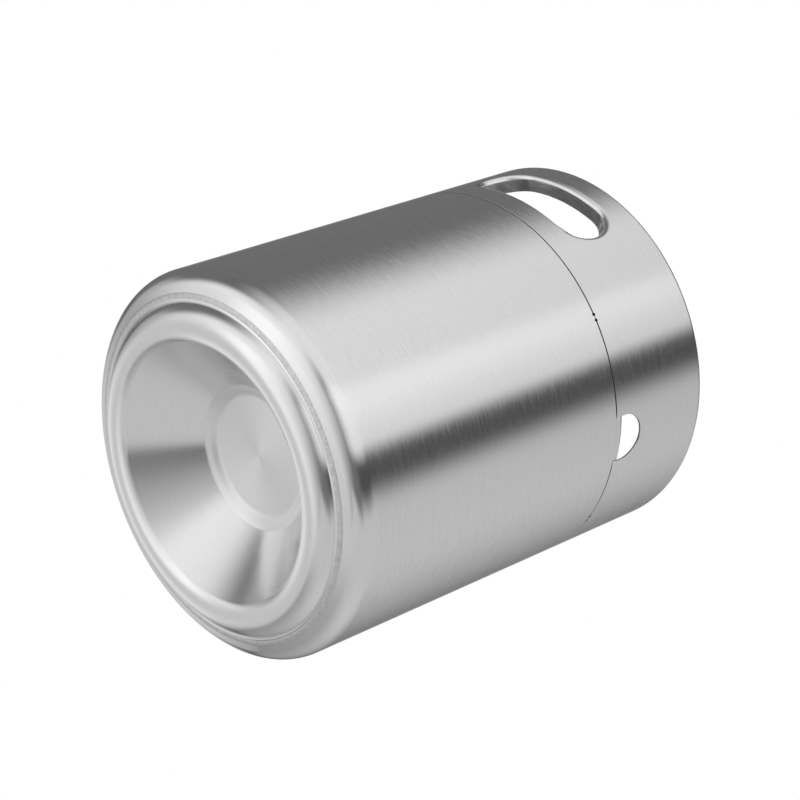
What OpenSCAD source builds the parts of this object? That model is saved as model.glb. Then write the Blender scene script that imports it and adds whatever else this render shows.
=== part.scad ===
// Small stainless steel drinks keg, standing upright on its foot ring.
// The foot ring's flat is at z = 0 and the rim of the carry collar is at the top.
// +X runs through a carry hole and over the beer post, and +Z leaves the mouth.

/* [Body shell] */
// Outer diameter of the body and of the collar that sits flush on it
body_d = 196; // [184:1:220]
// Height from the foot ring's flat to the rim of the collar
height = 248; // [236:1:300]
// Thickness of the shell's sheet
shell_sheet = 1.2; // [0.9:0.1:1.6]
// Outer radius of the rolled lower shoulder
shoulder_r = 10.3; // [8:0.1:12]
// Height at which the shoulder begins
shoulder_z = 17.9; // [16.5:0.1:22]
// Turn of the shoulder's roll before it runs straight to the weld
shoulder_turn = 70; // [60:1:75]
// Height of the step where the shell is necked in for the collar
step_h = 2.6; // [2:0.1:5]
// Height of the necked part above the seam
neckin_h = 4.8; // [4:0.1:7]
// Clearance between sheets that fit one inside the other
seat_gap = 0.1; // [0.05:0.01:0.2]

/* [Base dish] */
// Thickness of the dish's sheet
dish_sheet = 1.2; // [0.9:0.1:1.6]
// Distance of the foot ring's outer wall behind the body's outer face
foot_inset = 14.9; // [14:0.1:17]
// Radius of the foot ring's outer roll
foot_roll_r = 5.4; // [4.5:0.1:6]
// Width of the flat that the keg stands on
foot_flat_w = 8.1; // [6:0.1:11]
// Radius of the foot ring's inner lip
lip_r = 5.9; // [5:0.1:7]
// Turn of the lip before the cone begins
lip_turn = 55; // [48:1:60]
// Height of the dish's upturned edge inside the shell
dish_edge_z = 12; // [10:0.5:14]
// Outer diameter of the step around the centre disc
disc_step_d = 72.6; // [64:0.1:80]
// Height of the foot of that step
disc_step_z = 30.2; // [26:0.1:34]
// Diameter of the flat centre disc
disc_d = 64.6; // [56:0.1:68]
// Height of the centre disc's lower face
disc_z = 38.2; // [36:0.1:42]
// Radius of the two small rounds of the step
disc_round_r = 2.4; // [1.6:0.1:3]

/* [Welds] */
// Radius of the bead between the shoulder and the foot ring
base_bead_r = 1.1; // [0.8:0.1:1.4]
// Radius of the bead between the shell and the dome
dome_bead_r = 0.9; // [0.7:0.1:1]
// Radius of the bead around the spout
spout_bead_r = 1.2; // [0.9:0.1:1.5]
// Diameter of a tack on the collar's seam
tack_d = 2.6; // [2:0.1:3.5]
// Depth of a tack behind the outer face
tack_depth = 1.1; // [0.8:0.1:1.3]
// Number of tacks
tack_count = 5; // [3:1:5]
// Direction of the first tack
tack_turn = 47; // [40:1:54]
// Angle from one tack to the next
tack_pitch = 68; // [66:1:70]

/* [Top dome] */
// Thickness of the dome's sheet
dome_sheet = 1.5; // [1.2:0.1:2]
// Height of the skirt inside the shell
dome_skirt_h = 8; // [6:0.5:12]
// Radius of the dome's knuckle
knuckle_r = 6; // [4:0.5:9]
// Rise of the crown above the knuckle
crown_rise = 5; // [3:0.5:7]

/* [Carry collar] */
// Height of the collar, from the seam to the rim
collar_h = 65.3; // [60:0.1:72]
// Thickness of the collar's sheet
collar_sheet = 1.3; // [1:0.1:1.6]
// Width of the dark gap at the seam
seam_gap = 0.6; // [0.4:0.1:1]
// Width of a carry hole
hole_w = 79.2; // [70:0.1:88]
// Height of a carry hole
hole_h = 33.6; // [30:0.1:36]
// Distance of a carry hole's middle below the rim
hole_drop = 32.9; // [30:0.1:36]
// Depth of the turned-in grip, from the collar's outer face
grip_depth = 6.5; // [4:0.1:9]
// Number of drain notches, evenly spaced
notch_count = 2; // [1:1:2]
// Width of a drain notch
notch_w = 25; // [20:0.5:30]
// Height of a drain notch above the seam
notch_h = 19; // [17:0.5:22]
// Direction of the first drain notch
notch_turn = 85; // [80:1:100]

/* [Spout] */
// Bore of the spout
spout_bore_d = 58; // [56:0.5:60]
// Wall of the spout under its thread
spout_wall = 2.5; // [2:0.1:3.5]
// Height of the spout above the dome
spout_h = 10; // [9:0.5:13]
// Depth of the spout below the dome's outer face
spout_sink = 3; // [2.5:0.5:5]
// Height of a thread ridge above the spout's wall
thread_depth = 1.5; // [1:0.1:2]
// Distance from one thread ridge to the next
thread_pitch = 2.5; // [2:0.1:3]
// Number of thread ridges
thread_count = 3; // [2:1:3]

/* [Head plate] */
// Thickness of the gasket under the head plate
gasket_h = 2; // [1.5:0.1:3]
// Width of the gasket
gasket_w = 3; // [2.2:0.1:3.2]
// Thickness of the head plate
plate_h = 3.5; // [3:0.1:5]
// Depth of the plug that enters the spout
plug_h = 6; // [4:0.5:9]
// Wall of the plug
plug_wall = 2.5; // [2:0.1:3.5]
// Radial clearance of the plug and the screw ring over their mates
screw_gap = 0.4; // [0.3:0.05:0.6]
// Distance between the two posts
post_spacing = 36; // [35:0.5:37]
// Distance of the posts from the middle, on the side away from the relief valve
post_offset = 5; // [3:0.5:6]

/* [Screw ring] */
// Height of the ring's skirt below the head plate's upper face
ring_skirt_h = 12.5; // [10:0.5:13.5]
// Thickness of the ring's lip over the head plate
ring_lip_h = 3; // [2.5:0.1:4]
// Width of the lip that holds the head plate down
ring_lip_w = 3.4; // [2.8:0.1:3.6]
// Wall of the ring outside its thread
ring_wall = 5.6; // [4.5:0.1:7]
// Number of finger flutes around the ring
flute_count = 12; // [8:1:16]
// Radius of a finger flute
flute_r = 4; // [3:0.1:5]
// Depth of a finger flute
flute_depth = 1.8; // [1:0.1:2.5]

/* [Posts] */
// Width across the flats of a post's hexagon
hex_w = 17.5; // [17:0.1:18]
// Height of the hexagon
hex_h = 9; // [8.5:0.1:11]
// Diameter of a post's barrel
barrel_d = 15.2; // [15:0.1:16]
// Height of the barrel under the lock ridge
barrel_h = 5; // [4:0.5:6]
// Diameter of the lock ridge
ridge_d = 17.4; // [17:0.1:18]
// Height of the lock ridge
ridge_h = 3.2; // [2.5:0.1:4]
// Height of the nose above the lock ridge
nose_h = 9.3; // [9:0.1:11]
// Bevel at the top of the nose
nose_bevel = 0.8; // [0.4:0.1:1.2]
// Diameter of the threaded nipple under a post
nipple_d = 13.6; // [13.2:0.1:14]
// Height of the nipple
nipple_h = 6.5; // [6:0.1:6.8]
// Radial clearance of a post over its nipple
post_gap = 0.1; // [0.05:0.01:0.15]
// Diameter of the spring chamber inside a post
chamber_d = 9.2; // [8.8:0.1:9.4]
// Diameter of the hole at the top of a post
mouth_d = 7; // [6.4:0.1:7.4]
// Thickness of the seat around that hole
seat_h = 3.5; // [3:0.1:4]
// Section diameter of the ring seal around the nose
nose_seal_d = 2.6; // [2.2:0.1:2.8]
// Depth of the ring seal's groove
nose_groove_depth = 1.7; // [1.4:0.1:2]
// Depth of the notches in the gas post's hexagon, at its corners
gas_mark_depth = 1.1; // [0.6:0.1:1.3]
// Height of those notches
gas_mark_h = 1.2; // [0.8:0.1:2]

/* [Poppets] */
// Diameter of a poppet's disc
poppet_d = 8.4; // [8:0.1:8.5]
// Thickness of a poppet's disc
poppet_h = 1.6; // [1.2:0.1:2]
// Thickness of a poppet's seal
poppet_seal_h = 1.2; // [1:0.1:1.5]
// Diameter of a poppet's tip
poppet_tip_d = 4.4; // [4:0.1:4.6]
// Diameter of the pilot that guides the spring
pilot_d = 3.6; // [3.2:0.1:4]
// Length of the pilot
pilot_h = 2.4; // [2:0.1:3]
// Distance of a poppet's tip below the top of the nose
poppet_tip_drop = 0.6; // [0.3:0.1:1]

/* [Tubes] */
// Outer diameter of the gas tube and the beer dip tube
tube_d = 7.9; // [7.5:0.1:8]
// Wall of the tubes
tube_wall = 0.8; // [0.6:0.1:1]
// Diameter of a tube's flange
tube_flange_d = 12.4; // [12:0.1:12.6]
// Thickness of a tube's flange
tube_flange_h = 1; // [0.8:0.1:1.2]
// Height of the seal that is squeezed under a tube's flange
tube_seal_h = 1.6; // [1.4:0.1:1.9]
// Radial clearance of a tube in its nipple
tube_gap = 0.1; // [0.05:0.01:0.15]
// Length of the gas tube below the head plate
gas_tube_l = 14; // [10:0.5:30]
// Radius of the dip tube's bend
dip_bend_r = 25; // [20:1:35]
// Turn of the dip tube's bend
dip_turn = 39; // [34:1:42]
// Clearance under the dip tube's mouth
dip_clearance = 3; // [2:0.5:6]

/* [Relief valve] */
// Distance of the relief valve from the middle
relief_y = 18; // [17.5:0.1:19]
// Width across the flats of its hexagon
relief_hex_w = 13; // [12.5:0.1:13.5]
// Height of its hexagon
relief_hex_h = 4; // [3:0.1:5]
// Diameter of its body
relief_d = 11; // [10.6:0.1:11.5]
// Height of its body above its seal
relief_h = 12.5; // [12:0.1:14]
// Depth of its shank below its hexagon
relief_shank_h = 9; // [8:0.1:10]
// Thickness of the seal under its hexagon
relief_seal_h = 1; // [0.8:0.1:1.2]
// Diameter of its shank
relief_shank_d = 10; // [9.6:0.1:10.4]
// Diameter of its spring chamber
relief_bore_d = 7.8; // [7.4:0.1:8]
// Thickness of its cap and of its seat
relief_wall_h = 2; // [1.5:0.1:2.5]
// Diameter of the vent through the seat
vent_d = 5; // [4:0.1:5.4]
// Diameter of the cross vents in the body's side
side_vent_d = 2; // [1.5:0.1:2.4]
// Diameter of the stem's rod
stem_d = 2.6; // [2.2:0.1:2.8]
// Diameter of the stem's disc
stem_disc_d = 7; // [6.6:0.1:7.2]
// Thickness of the stem's disc
stem_disc_h = 2; // [1.6:0.1:2.4]
// Thickness of the seal under the stem's disc
stem_seal_h = 1; // [0.8:0.1:1.2]
// Height of the eye's centre above the cap
eye_h = 4.5; // [4:0.1:6]
// Diameter of the eye
eye_d = 5.6; // [5:0.1:6]
// Thickness of the eye
eye_w = 2.2; // [1.8:0.1:2.4]
// Diameter of the hole in the eye
eye_hole_d = 2.8; // [2.6:0.1:3]
// Diameter of the pull ring, to the middle of its wire
pull_d = 19; // [18.5:0.5:20]
// Diameter of the pull ring's wire
pull_wire_d = 1.8; // [1.5:0.1:2]
// Clearance under the pull ring where it leans on the screw ring
pull_gap = 0.3; // [0.2:0.1:0.5]

/* [Springs] */
// Wire diameter of the poppet springs
poppet_wire_d = 0.8; // [0.6:0.1:1]
// Outer diameter of the poppet springs
poppet_coil_d = 7.8; // [7.2:0.1:8]
// Wire diameter of the relief spring
relief_wire_d = 0.9; // [0.7:0.1:1]
// Outer diameter of the relief spring
relief_coil_d = 6.6; // [6:0.1:6.8]
// Number of turns of a poppet spring
poppet_turns = 4; // [3:1:5]
// Number of turns of the relief spring
relief_turns = 5; // [4:1:6]
// Least gap left at each end of a spring
coil_end_gap = 0.05; // [0.02:0.01:0.1]

/* [Hidden] */

// Smoothness of round shapes, and the overrun that takes a cut past its faces
round_fn = 96;
small_fn = 48;
arc_steps = 8;
over = 1;

// Colours of the sheet steel, the welds, the machined pieces and the seals
steel = [0.74, 0.74, 0.73];
weld_steel = [0.66, 0.65, 0.63];
machined_steel = [0.80, 0.80, 0.79];
seal_rubber = [0.08, 0.08, 0.09];

// Body shell and its levels
body_r = body_d / 2;
seam_z = height - collar_h;
neckin_r = body_r - collar_sheet - seat_gap;
shell_top_z = seam_z + neckin_h;
foot_r = body_r - foot_inset;
shell_hole_r = foot_r + seat_gap + shell_sheet;
shoulder_end = [body_r - shoulder_r, shoulder_z] + shoulder_r * [cos(shoulder_turn), -sin(shoulder_turn)];
shell_hole_z = shoulder_end[1] - (shoulder_end[0] - shell_hole_r) / tan(shoulder_turn);

// Dome
dome_r = neckin_r - shell_sheet - seat_gap;
crown_r = dome_r - knuckle_r;
crown_slope = atan(2 * crown_rise / crown_r);
spout_r = spout_bore_d / 2 + spout_wall;
thread_r = spout_r + thread_depth;
dome_hole_r = spout_r + seat_gap;

// Head
spout_foot_z = crown_z(spout_r);
spout_top_z = spout_foot_z + spout_h;
plate_z = spout_top_z + gasket_h;
deck_z = plate_z + plate_h;
plug_r = spout_bore_d / 2 - screw_gap;
plate_r = thread_r - screw_gap;
ring_bore_r = thread_r + screw_gap;
ring_r = ring_bore_r + ring_wall;
ring_mouth_r = ring_bore_r - ring_lip_w;

// Posts, from the deck upwards
barrel_r = barrel_d / 2;
ridge_z = hex_h + barrel_h;
nose_z = ridge_z + ridge_h;
post_h = nose_z + nose_h;
flange_z = nipple_h + tube_seal_h;
chamber_z = flange_z + tube_flange_h;
seat_z = post_h - seat_h;
nose_groove_h = nose_seal_d + 2 * seat_gap;
nose_seal_z = nose_z + nose_h / 2;
groove_r = barrel_r - nose_groove_depth;
nose_seal_r = groove_r + nose_seal_d / 2;
poppet_seal_z = seat_z - poppet_seal_h;
poppet_z = poppet_seal_z - poppet_h;
post_x = post_spacing / 2;

// Tubes
dip_foot_r = foot_r - foot_roll_r - foot_flat_w / 2;
dip_end_z = dish_sheet + dip_clearance + tube_d / 2 * sin(dip_turn);
dip_bend_dx = dip_bend_r * (1 - cos(dip_turn));
dip_slant_l = (dip_foot_r - post_x - dip_bend_dx) / sin(dip_turn);
dip_bend_z = dip_end_z + dip_slant_l * cos(dip_turn) + dip_bend_r * sin(dip_turn);

// Relief valve, from the top of its seal upwards
relief_seat_z = relief_wall_h - relief_shank_h;
stem_disc_z = relief_seat_z + stem_seal_h;
relief_spring_z = stem_disc_z + stem_disc_h;
relief_cap_z = relief_h - relief_wall_h;
eye_z = relief_h + eye_h;
pull_r = pull_d / 2;
pull_droop = asin((eye_z + relief_seal_h - ring_lip_h - pull_wire_d / 2 - pull_gap) / pull_d);

// Height of the crown's outer face at a radius
function crown_z(r) = shell_top_z + knuckle_r * cos(crown_slope) + crown_rise * (1 - pow(r / crown_r, 2));

// Points of an arc about a centre
function arc(centre, r, from, to) = [
    for (i = [0:arc_steps]) let (a = from + (to - from) * i / arc_steps) centre + r * [cos(a), sin(a)]
];

// Line that runs beside another at a distance, on its left
function unit(v) = v / norm(v);
function edge_normal(p, i) = let (d = unit(p[i + 1] - p[i])) [-d[1], d[0]];
function corner_normal(p, i) =
    i == 0 ? edge_normal(p, 0) :
    i == len(p) - 1 ? edge_normal(p, i - 1) :
    let (n = unit(edge_normal(p, i - 1) + edge_normal(p, i))) n / (n * edge_normal(p, i));
function beside(p, gap) = [for (i = [0:len(p) - 1]) p[i] + gap * corner_normal(p, i)];
function backwards(p) = [for (i = [len(p) - 1:-1:0]) p[i]];

// Sheet metal turned about the axis, from the line of one of its faces
module turned_sheet(line, thickness) {
    rotate_extrude($fn = round_fn) polygon(concat(line, backwards(beside(line, thickness))));
}

module tube(r, bore_r, h) {
    difference() {
        cylinder(r = r, h = h, $fn = round_fn);
        translate([0, 0, -over]) cylinder(r = bore_r, h = h + 2 * over, $fn = round_fn);
    }
}

module bead(place_r, z, r) {
    translate([0, 0, z]) rotate_extrude($fn = round_fn)
        translate([place_r, 0]) circle(r = r, $fn = small_fn);
}

// Hexagon with its flats a width apart
module hexagon(w, h) {
    cylinder(d = w / cos(30), h = h, $fn = 6);
}

// Prism along +X with round ends, as wide as w along Y and as high as h along Z
module slot_prism(w, h, l) {
    for (side = [-1, 1])
        translate([0, side * (w - h) / 2, 0]) rotate([0, 90, 0]) cylinder(d = h, h = l, $fn = round_fn);
    translate([0, -(w - h) / 2, -h / 2]) cube([l, w - h, h]);
}

// Wire wound into a helix between two levels
module coil(outer_d, wire_d, l, turns) {
    sides = 6;
    steps = turns * 14;
    mean_r = (outer_d - wire_d) / 2;
    rise = l - wire_d - 2 * coil_end_gap;
    points = [
        for (i = [0:steps])
        let (a = 360 * turns * i / steps, z = wire_d / 2 + coil_end_gap + rise * i / steps)
        for (k = [0:sides - 1]) let (b = 360 * k / sides, r = mean_r + wire_d / 2 * cos(b))
        [r * cos(a), r * sin(a), z + wire_d / 2 * sin(b)]
    ];
    walls = [
        for (i = [0:steps - 1], k = [0:sides - 1], half = [0, 1])
        let (a = i * sides + k, b = i * sides + (k + 1) % sides, c = a + sides, d = b + sides)
        half == 0 ? [a, c, b] : [b, c, d]
    ];
    caps = [for (k = [1:sides - 2]) [0, k, k + 1]];
    last = steps * sides;
    far_caps = [for (k = [1:sides - 2]) [last, last + k + 1, last + k]];
    polyhedron(points = points, faces = concat(walls, caps, far_caps));
}

// Pressed base: upturned edge, foot ring, cone and sunk centre disc, in one sheet
module base_dish() {
    roll_centre = [foot_r - foot_roll_r, foot_roll_r];
    lip_centre = [foot_r - foot_roll_r - foot_flat_w, lip_r];
    step_foot = [disc_step_d / 2, disc_step_z];
    step_head = [disc_d / 2, disc_z];
    cone_dir = unit(lip_centre + lip_r * [-sin(lip_turn), -cos(lip_turn)] - step_foot);
    wall_dir = unit(step_head - step_foot);
    color(steel) turned_sheet(concat(
        [[foot_r, dish_edge_z]],
        arc(roll_centre, foot_roll_r, 0, -90),
        arc(lip_centre, lip_r, -90, -90 - lip_turn),
        [step_foot + disc_round_r * cone_dir, step_foot + disc_round_r * wall_dir],
        [step_head - disc_round_r * wall_dir, step_head - [disc_round_r, 0], [0, disc_z]]
    ), -dish_sheet);
}

// Weld bead in the crease between the shoulder and the foot ring
module base_weld() {
    color(weld_steel) bead(foot_r + seat_gap + shell_sheet / 2, shell_hole_z + base_bead_r / 2, base_bead_r);
}

// Tube with a rolled lower shoulder, stepped in at the top so that the collar sits flush
module body_shell() {
    color(steel) turned_sheet(concat(
        [[shell_hole_r, shell_hole_z]],
        arc([body_r - shoulder_r, shoulder_z], shoulder_r, -shoulder_turn, 0),
        [[body_r, seam_z - step_h], [neckin_r, seam_z], [neckin_r, shell_top_z]]
    ), shell_sheet);
}

// Dished top of the vessel, with a skirt inside the shell and a hole for the spout
module top_dome() {
    color(steel) turned_sheet(concat(
        [[dome_r, shell_top_z - dome_skirt_h]],
        arc([crown_r, shell_top_z], knuckle_r, 0, 90 - crown_slope),
        [for (i = [1:arc_steps]) let (r = crown_r + (dome_hole_r - crown_r) * i / arc_steps) [r, crown_z(r)]]
    ), dome_sheet);
}

// Weld bead where the shell's upper edge meets the dome
module dome_weld() {
    color(weld_steel) bead(neckin_r - shell_sheet, shell_top_z, dome_bead_r);
}

// Plain ring that limits the collar's turned-in grips
module grip_zone() {
    difference() {
        cylinder(r = body_r - collar_sheet / 2, h = height, $fn = round_fn);
        translate([0, 0, -over]) cylinder(r = body_r - grip_depth, h = height + 2 * over, $fn = round_fn);
    }
}

// Upper half of a rim that is turned in around a carry hole
module grip() {
    bite = collar_sheet / 2;
    intersection() {
        grip_zone();
        translate([0, 0, height - hole_drop]) difference() {
            slot_prism(hole_w + 2 * bite, hole_h + 2 * bite, body_r);
            translate([-over, 0, 0])
                slot_prism(hole_w - 2 * bite, hole_h - 2 * bite, body_r + 2 * over);
            translate([-over, -body_r, -hole_h]) cube([body_r + 2 * over, body_d, hole_h]);
        }
    }
}

// Arched cut that is open at the collar's lower edge
module drain_cut() {
    arch_z = notch_h - notch_w / 2;
    rotate([0, 90, 0]) translate([-arch_z, 0, 0]) cylinder(d = notch_w, h = body_d, $fn = round_fn);
    translate([0, -notch_w / 2, -over]) cube([body_d, notch_w, arch_z + over]);
}

// Flush collar with two carry holes and drain notches
module carry_collar() {
    color(steel) union() {
        difference() {
            translate([0, 0, seam_z + seam_gap])
                tube(body_r, body_r - collar_sheet, collar_h - seam_gap);
            for (turn = [0, 180]) rotate([0, 0, turn])
                translate([0, 0, height - hole_drop]) slot_prism(hole_w, hole_h, body_d);
            for (i = [0:notch_count - 1]) rotate([0, 0, notch_turn + 360 / notch_count * i])
                translate([0, 0, seam_z]) drain_cut();
        }
        for (turn = [0, 180]) rotate([0, 0, turn]) grip();
    }
}

// Small weld tacks that bridge the seam
module collar_tacks() {
    color(weld_steel) for (i = [0:tack_count - 1]) rotate([0, 0, tack_turn + tack_pitch * i])
        translate([body_r - tack_depth, 0, seam_z + seam_gap / 2]) rotate([0, 90, 0])
            cylinder(d = tack_d, h = tack_depth - seat_gap / 2, $fn = small_fn);
}

// Machined spout with an outside thread, drawn as plain ridges
module neck_spout() {
    ridge = [[0, -thread_pitch / 3], [thread_depth, -thread_pitch / 6], [thread_depth, thread_pitch / 6],
        [0, thread_pitch / 3]];
    color(machined_steel) union() {
        translate([0, 0, spout_foot_z - spout_sink])
            tube(spout_r, spout_bore_d / 2, spout_h + spout_sink);
        for (i = [1:thread_count]) translate([0, 0, spout_top_z - thread_pitch * i])
            rotate_extrude($fn = round_fn) translate([spout_r - seat_gap, 0])
                polygon([for (p = ridge) [p[0] == 0 ? 0 : p[0] + seat_gap, p[1]]]);
    }
}

// Weld bead between the spout and the dome
module neck_weld() {
    color(weld_steel) bead(spout_r + seat_gap, spout_foot_z, spout_bead_r);
}

// Round plate with a plug, two threaded nipples and a bore for the relief valve
module head_plate() {
    color(machined_steel) difference() {
        union() {
            translate([0, 0, plate_z]) cylinder(r = plate_r, h = plate_h, $fn = round_fn);
            translate([0, 0, plate_z - plug_h]) tube(plug_r, plug_r - plug_wall, plug_h + plate_h / 2);
            for (side = [-1, 1]) translate([side * post_x, -post_offset, plate_z])
                cylinder(d = nipple_d, h = plate_h + nipple_h, $fn = small_fn);
        }
        for (side = [-1, 1]) translate([side * post_x, -post_offset, plate_z - over])
            cylinder(r = tube_d / 2 + tube_gap, h = plate_h + nipple_h + 2 * over, $fn = small_fn);
        translate([0, relief_y, plate_z - over])
            cylinder(r = relief_shank_d / 2 + tube_gap, h = plate_h + 2 * over, $fn = small_fn);
    }
}

// Flat gasket between the spout's mouth and the head plate
module head_gasket() {
    color(seal_rubber) translate([0, 0, spout_top_z])
        tube(plate_r - screw_gap, plate_r - screw_gap - gasket_w, gasket_h);
}

// Fluted ring that screws onto the spout and holds the head plate down
module screw_ring() {
    color(machined_steel) difference() {
        translate([0, 0, deck_z - ring_skirt_h])
            cylinder(r = ring_r, h = ring_skirt_h + ring_lip_h, $fn = round_fn);
        translate([0, 0, deck_z - ring_skirt_h - over])
            cylinder(r = ring_bore_r, h = ring_skirt_h + over, $fn = round_fn);
        translate([0, 0, deck_z - over])
            cylinder(r = ring_mouth_r, h = ring_lip_h + 2 * over, $fn = round_fn);
        for (i = [0:flute_count - 1]) rotate([0, 0, 360 / flute_count * (i + 1 / 2)])
            translate([ring_r + flute_r - flute_depth, 0, deck_z - ring_skirt_h - over])
                cylinder(r = flute_r, h = ring_skirt_h + ring_lip_h + 2 * over, $fn = small_fn);
    }
}

// Places a part of the gas line at -1, or of the beer line at 1, with z = 0 on the deck
module at_post(side) {
    translate([side * post_x, -post_offset, deck_z]) children();
}

// Post with a hexagon, a lock ridge and a grooved nose, hollow for the poppet
module post_shape() {
    difference() {
        union() {
            hexagon(hex_w, hex_h);
            cylinder(r = barrel_r, h = post_h - nose_bevel, $fn = small_fn);
            translate([0, 0, ridge_z]) cylinder(d = ridge_d, h = ridge_h, $fn = small_fn);
            translate([0, 0, post_h - nose_bevel])
                cylinder(r1 = barrel_r, r2 = barrel_r - nose_bevel, h = nose_bevel, $fn = small_fn);
        }
        translate([0, 0, -over])
            cylinder(r = nipple_d / 2 + post_gap, h = chamber_z + over, $fn = small_fn);
        cylinder(d = chamber_d, h = seat_z, $fn = small_fn);
        cylinder(d = mouth_d, h = post_h + over, $fn = small_fn);
        translate([0, 0, nose_seal_z - nose_groove_h / 2]) rotate_extrude($fn = small_fn)
            translate([groove_r, 0]) square([nose_groove_depth + over, nose_groove_h]);
    }
}

module post_seal_shape() {
    bead(nose_seal_r, nose_seal_z, nose_seal_d / 2);
}

// Disc with a tip above it and a pilot below it
module poppet_shape() {
    tip_h = post_h - poppet_tip_drop - poppet_z;
    translate([0, 0, poppet_z]) cylinder(d = poppet_d, h = poppet_h, $fn = small_fn);
    translate([0, 0, poppet_z]) cylinder(d = poppet_tip_d, h = tip_h, $fn = small_fn);
    translate([0, 0, poppet_z - pilot_h]) cylinder(d = pilot_d, h = pilot_h + poppet_h, $fn = small_fn);
}

module poppet_seal_shape() {
    translate([0, 0, poppet_seal_z]) tube(poppet_d / 2, poppet_tip_d / 2 + tube_gap, poppet_seal_h);
}

module poppet_spring_shape() {
    translate([0, 0, chamber_z]) coil(poppet_coil_d, poppet_wire_d, poppet_z - chamber_z, poppet_turns);
}

// Round seal squeezed flat under a tube's flange
module tube_seal_shape() {
    translate([0, 0, nipple_h]) tube(tube_flange_d / 2, tube_d / 2 + tube_gap, tube_seal_h);
}

module tube_flange_shape() {
    translate([0, 0, flange_z]) tube(tube_flange_d / 2, tube_d / 2 - tube_wall, tube_flange_h);
}

// The gas line's hexagon is notched around its corners
module gas_post() {
    corner_r = hex_w / 2 / cos(30);
    color(machined_steel) at_post(-1) difference() {
        post_shape();
        translate([0, 0, (hex_h - gas_mark_h) / 2]) rotate_extrude($fn = small_fn)
            translate([corner_r - gas_mark_depth, 0]) square([gas_mark_depth + over, gas_mark_h]);
    }
}

module gas_post_seal() {
    color(seal_rubber) at_post(-1) post_seal_shape();
}

module gas_poppet() {
    color(machined_steel) at_post(-1) poppet_shape();
}

module gas_poppet_seal() {
    color(seal_rubber) at_post(-1) poppet_seal_shape();
}

module gas_poppet_spring() {
    color(steel) at_post(-1) poppet_spring_shape();
}

// Short tube that lets gas in above the drink
module gas_tube() {
    low_z = -plate_h - gas_tube_l;
    color(machined_steel) at_post(-1) union() {
        tube_flange_shape();
        translate([0, 0, low_z]) tube(tube_d / 2, tube_d / 2 - tube_wall, flange_z - low_z + tube_flange_h);
    }
}

module gas_tube_seal() {
    color(seal_rubber) at_post(-1) tube_seal_shape();
}

module beer_post() {
    color(machined_steel) at_post(1) post_shape();
}

module beer_post_seal() {
    color(seal_rubber) at_post(1) post_seal_shape();
}

module beer_poppet() {
    color(machined_steel) at_post(1) poppet_shape();
}

module beer_poppet_seal() {
    color(seal_rubber) at_post(1) poppet_seal_shape();
}

module beer_poppet_spring() {
    color(steel) at_post(1) poppet_spring_shape();
}

// Long tube that bends outwards to the deepest part of the vessel, the gutter over the foot ring
module beer_dip_tube() {
    sides = 16;
    flange_foot = deck_z + flange_z;
    bore_r = tube_d / 2 - tube_wall;
    bend = [for (i = [0:arc_steps]) let (t = dip_turn * i / arc_steps)
        [post_x + dip_bend_r * (1 - cos(t)), dip_bend_z - dip_bend_r * sin(t), t]];
    foot = [dip_foot_r, dip_bend_z - dip_bend_r * sin(dip_turn) - dip_slant_l * cos(dip_turn), dip_turn];
    head = [post_x, flange_foot + tube_flange_h, 0];
    under_flange = [post_x, flange_foot, 0];
    // Rings of points, each with its centre, tilt and radius, down the outside and up the bore
    rings = concat(
        [[head, tube_flange_d / 2], [under_flange, tube_flange_d / 2], [under_flange, tube_d / 2]],
        [for (c = bend) [c, tube_d / 2]], [[foot, tube_d / 2], [foot, bore_r]],
        [for (c = backwards(bend)) [c, bore_r]], [[head, bore_r]]
    );
    count = len(rings);
    points = [for (ring = rings, k = [0:sides - 1])
        let (c = ring[0], r = ring[1], a = 360 * k / sides)
        [c[0] + r * cos(a) * cos(c[2]), -post_offset + r * sin(a), c[1] + r * cos(a) * sin(c[2])]];
    walls = [
        for (i = [0:count - 1], k = [0:sides - 1], half = [0, 1])
        let (a = i * sides + k, b = i * sides + (k + 1) % sides,
            c = (i + 1) % count * sides + k, d = (i + 1) % count * sides + (k + 1) % sides)
        half == 0 ? [a, b, c] : [b, d, c]
    ];
    color(machined_steel) polyhedron(points = points, faces = walls);
}

module beer_tube_seal() {
    color(seal_rubber) at_post(1) tube_seal_shape();
}

// Places a part of the relief valve, with z = 0 on top of the seal that lies on the deck
module at_relief() {
    translate([0, relief_y, deck_z + relief_seal_h]) children();
}

// Screwed body with a seat at its foot, a spring chamber and a cap with a hole for the stem
module relief_body() {
    color(machined_steel) at_relief() difference() {
        union() {
            hexagon(relief_hex_w, relief_hex_h);
            cylinder(d = relief_d, h = relief_h, $fn = small_fn);
            translate([0, 0, -relief_shank_h])
                cylinder(d = relief_shank_d, h = relief_shank_h + over, $fn = small_fn);
        }
        translate([0, 0, relief_seat_z])
            cylinder(d = relief_bore_d, h = relief_cap_z - relief_seat_z, $fn = small_fn);
        translate([0, 0, -relief_shank_h - over]) cylinder(d = vent_d, h = relief_shank_h, $fn = small_fn);
        cylinder(r = stem_d / 2 + tube_gap, h = relief_h + over, $fn = small_fn);
        for (turn = [0, 90]) translate([0, 0, (relief_hex_h + relief_cap_z) / 2]) rotate([0, 90, turn])
            cylinder(d = side_vent_d, h = relief_hex_w, center = true, $fn = small_fn);
    }
}

// Flat seal between the relief valve's hexagon and the head plate
module relief_body_seal() {
    color(seal_rubber) at_relief() translate([0, 0, -relief_seal_h])
        tube(relief_hex_w / 2, relief_shank_d / 2 + tube_gap, relief_seal_h);
}

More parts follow.
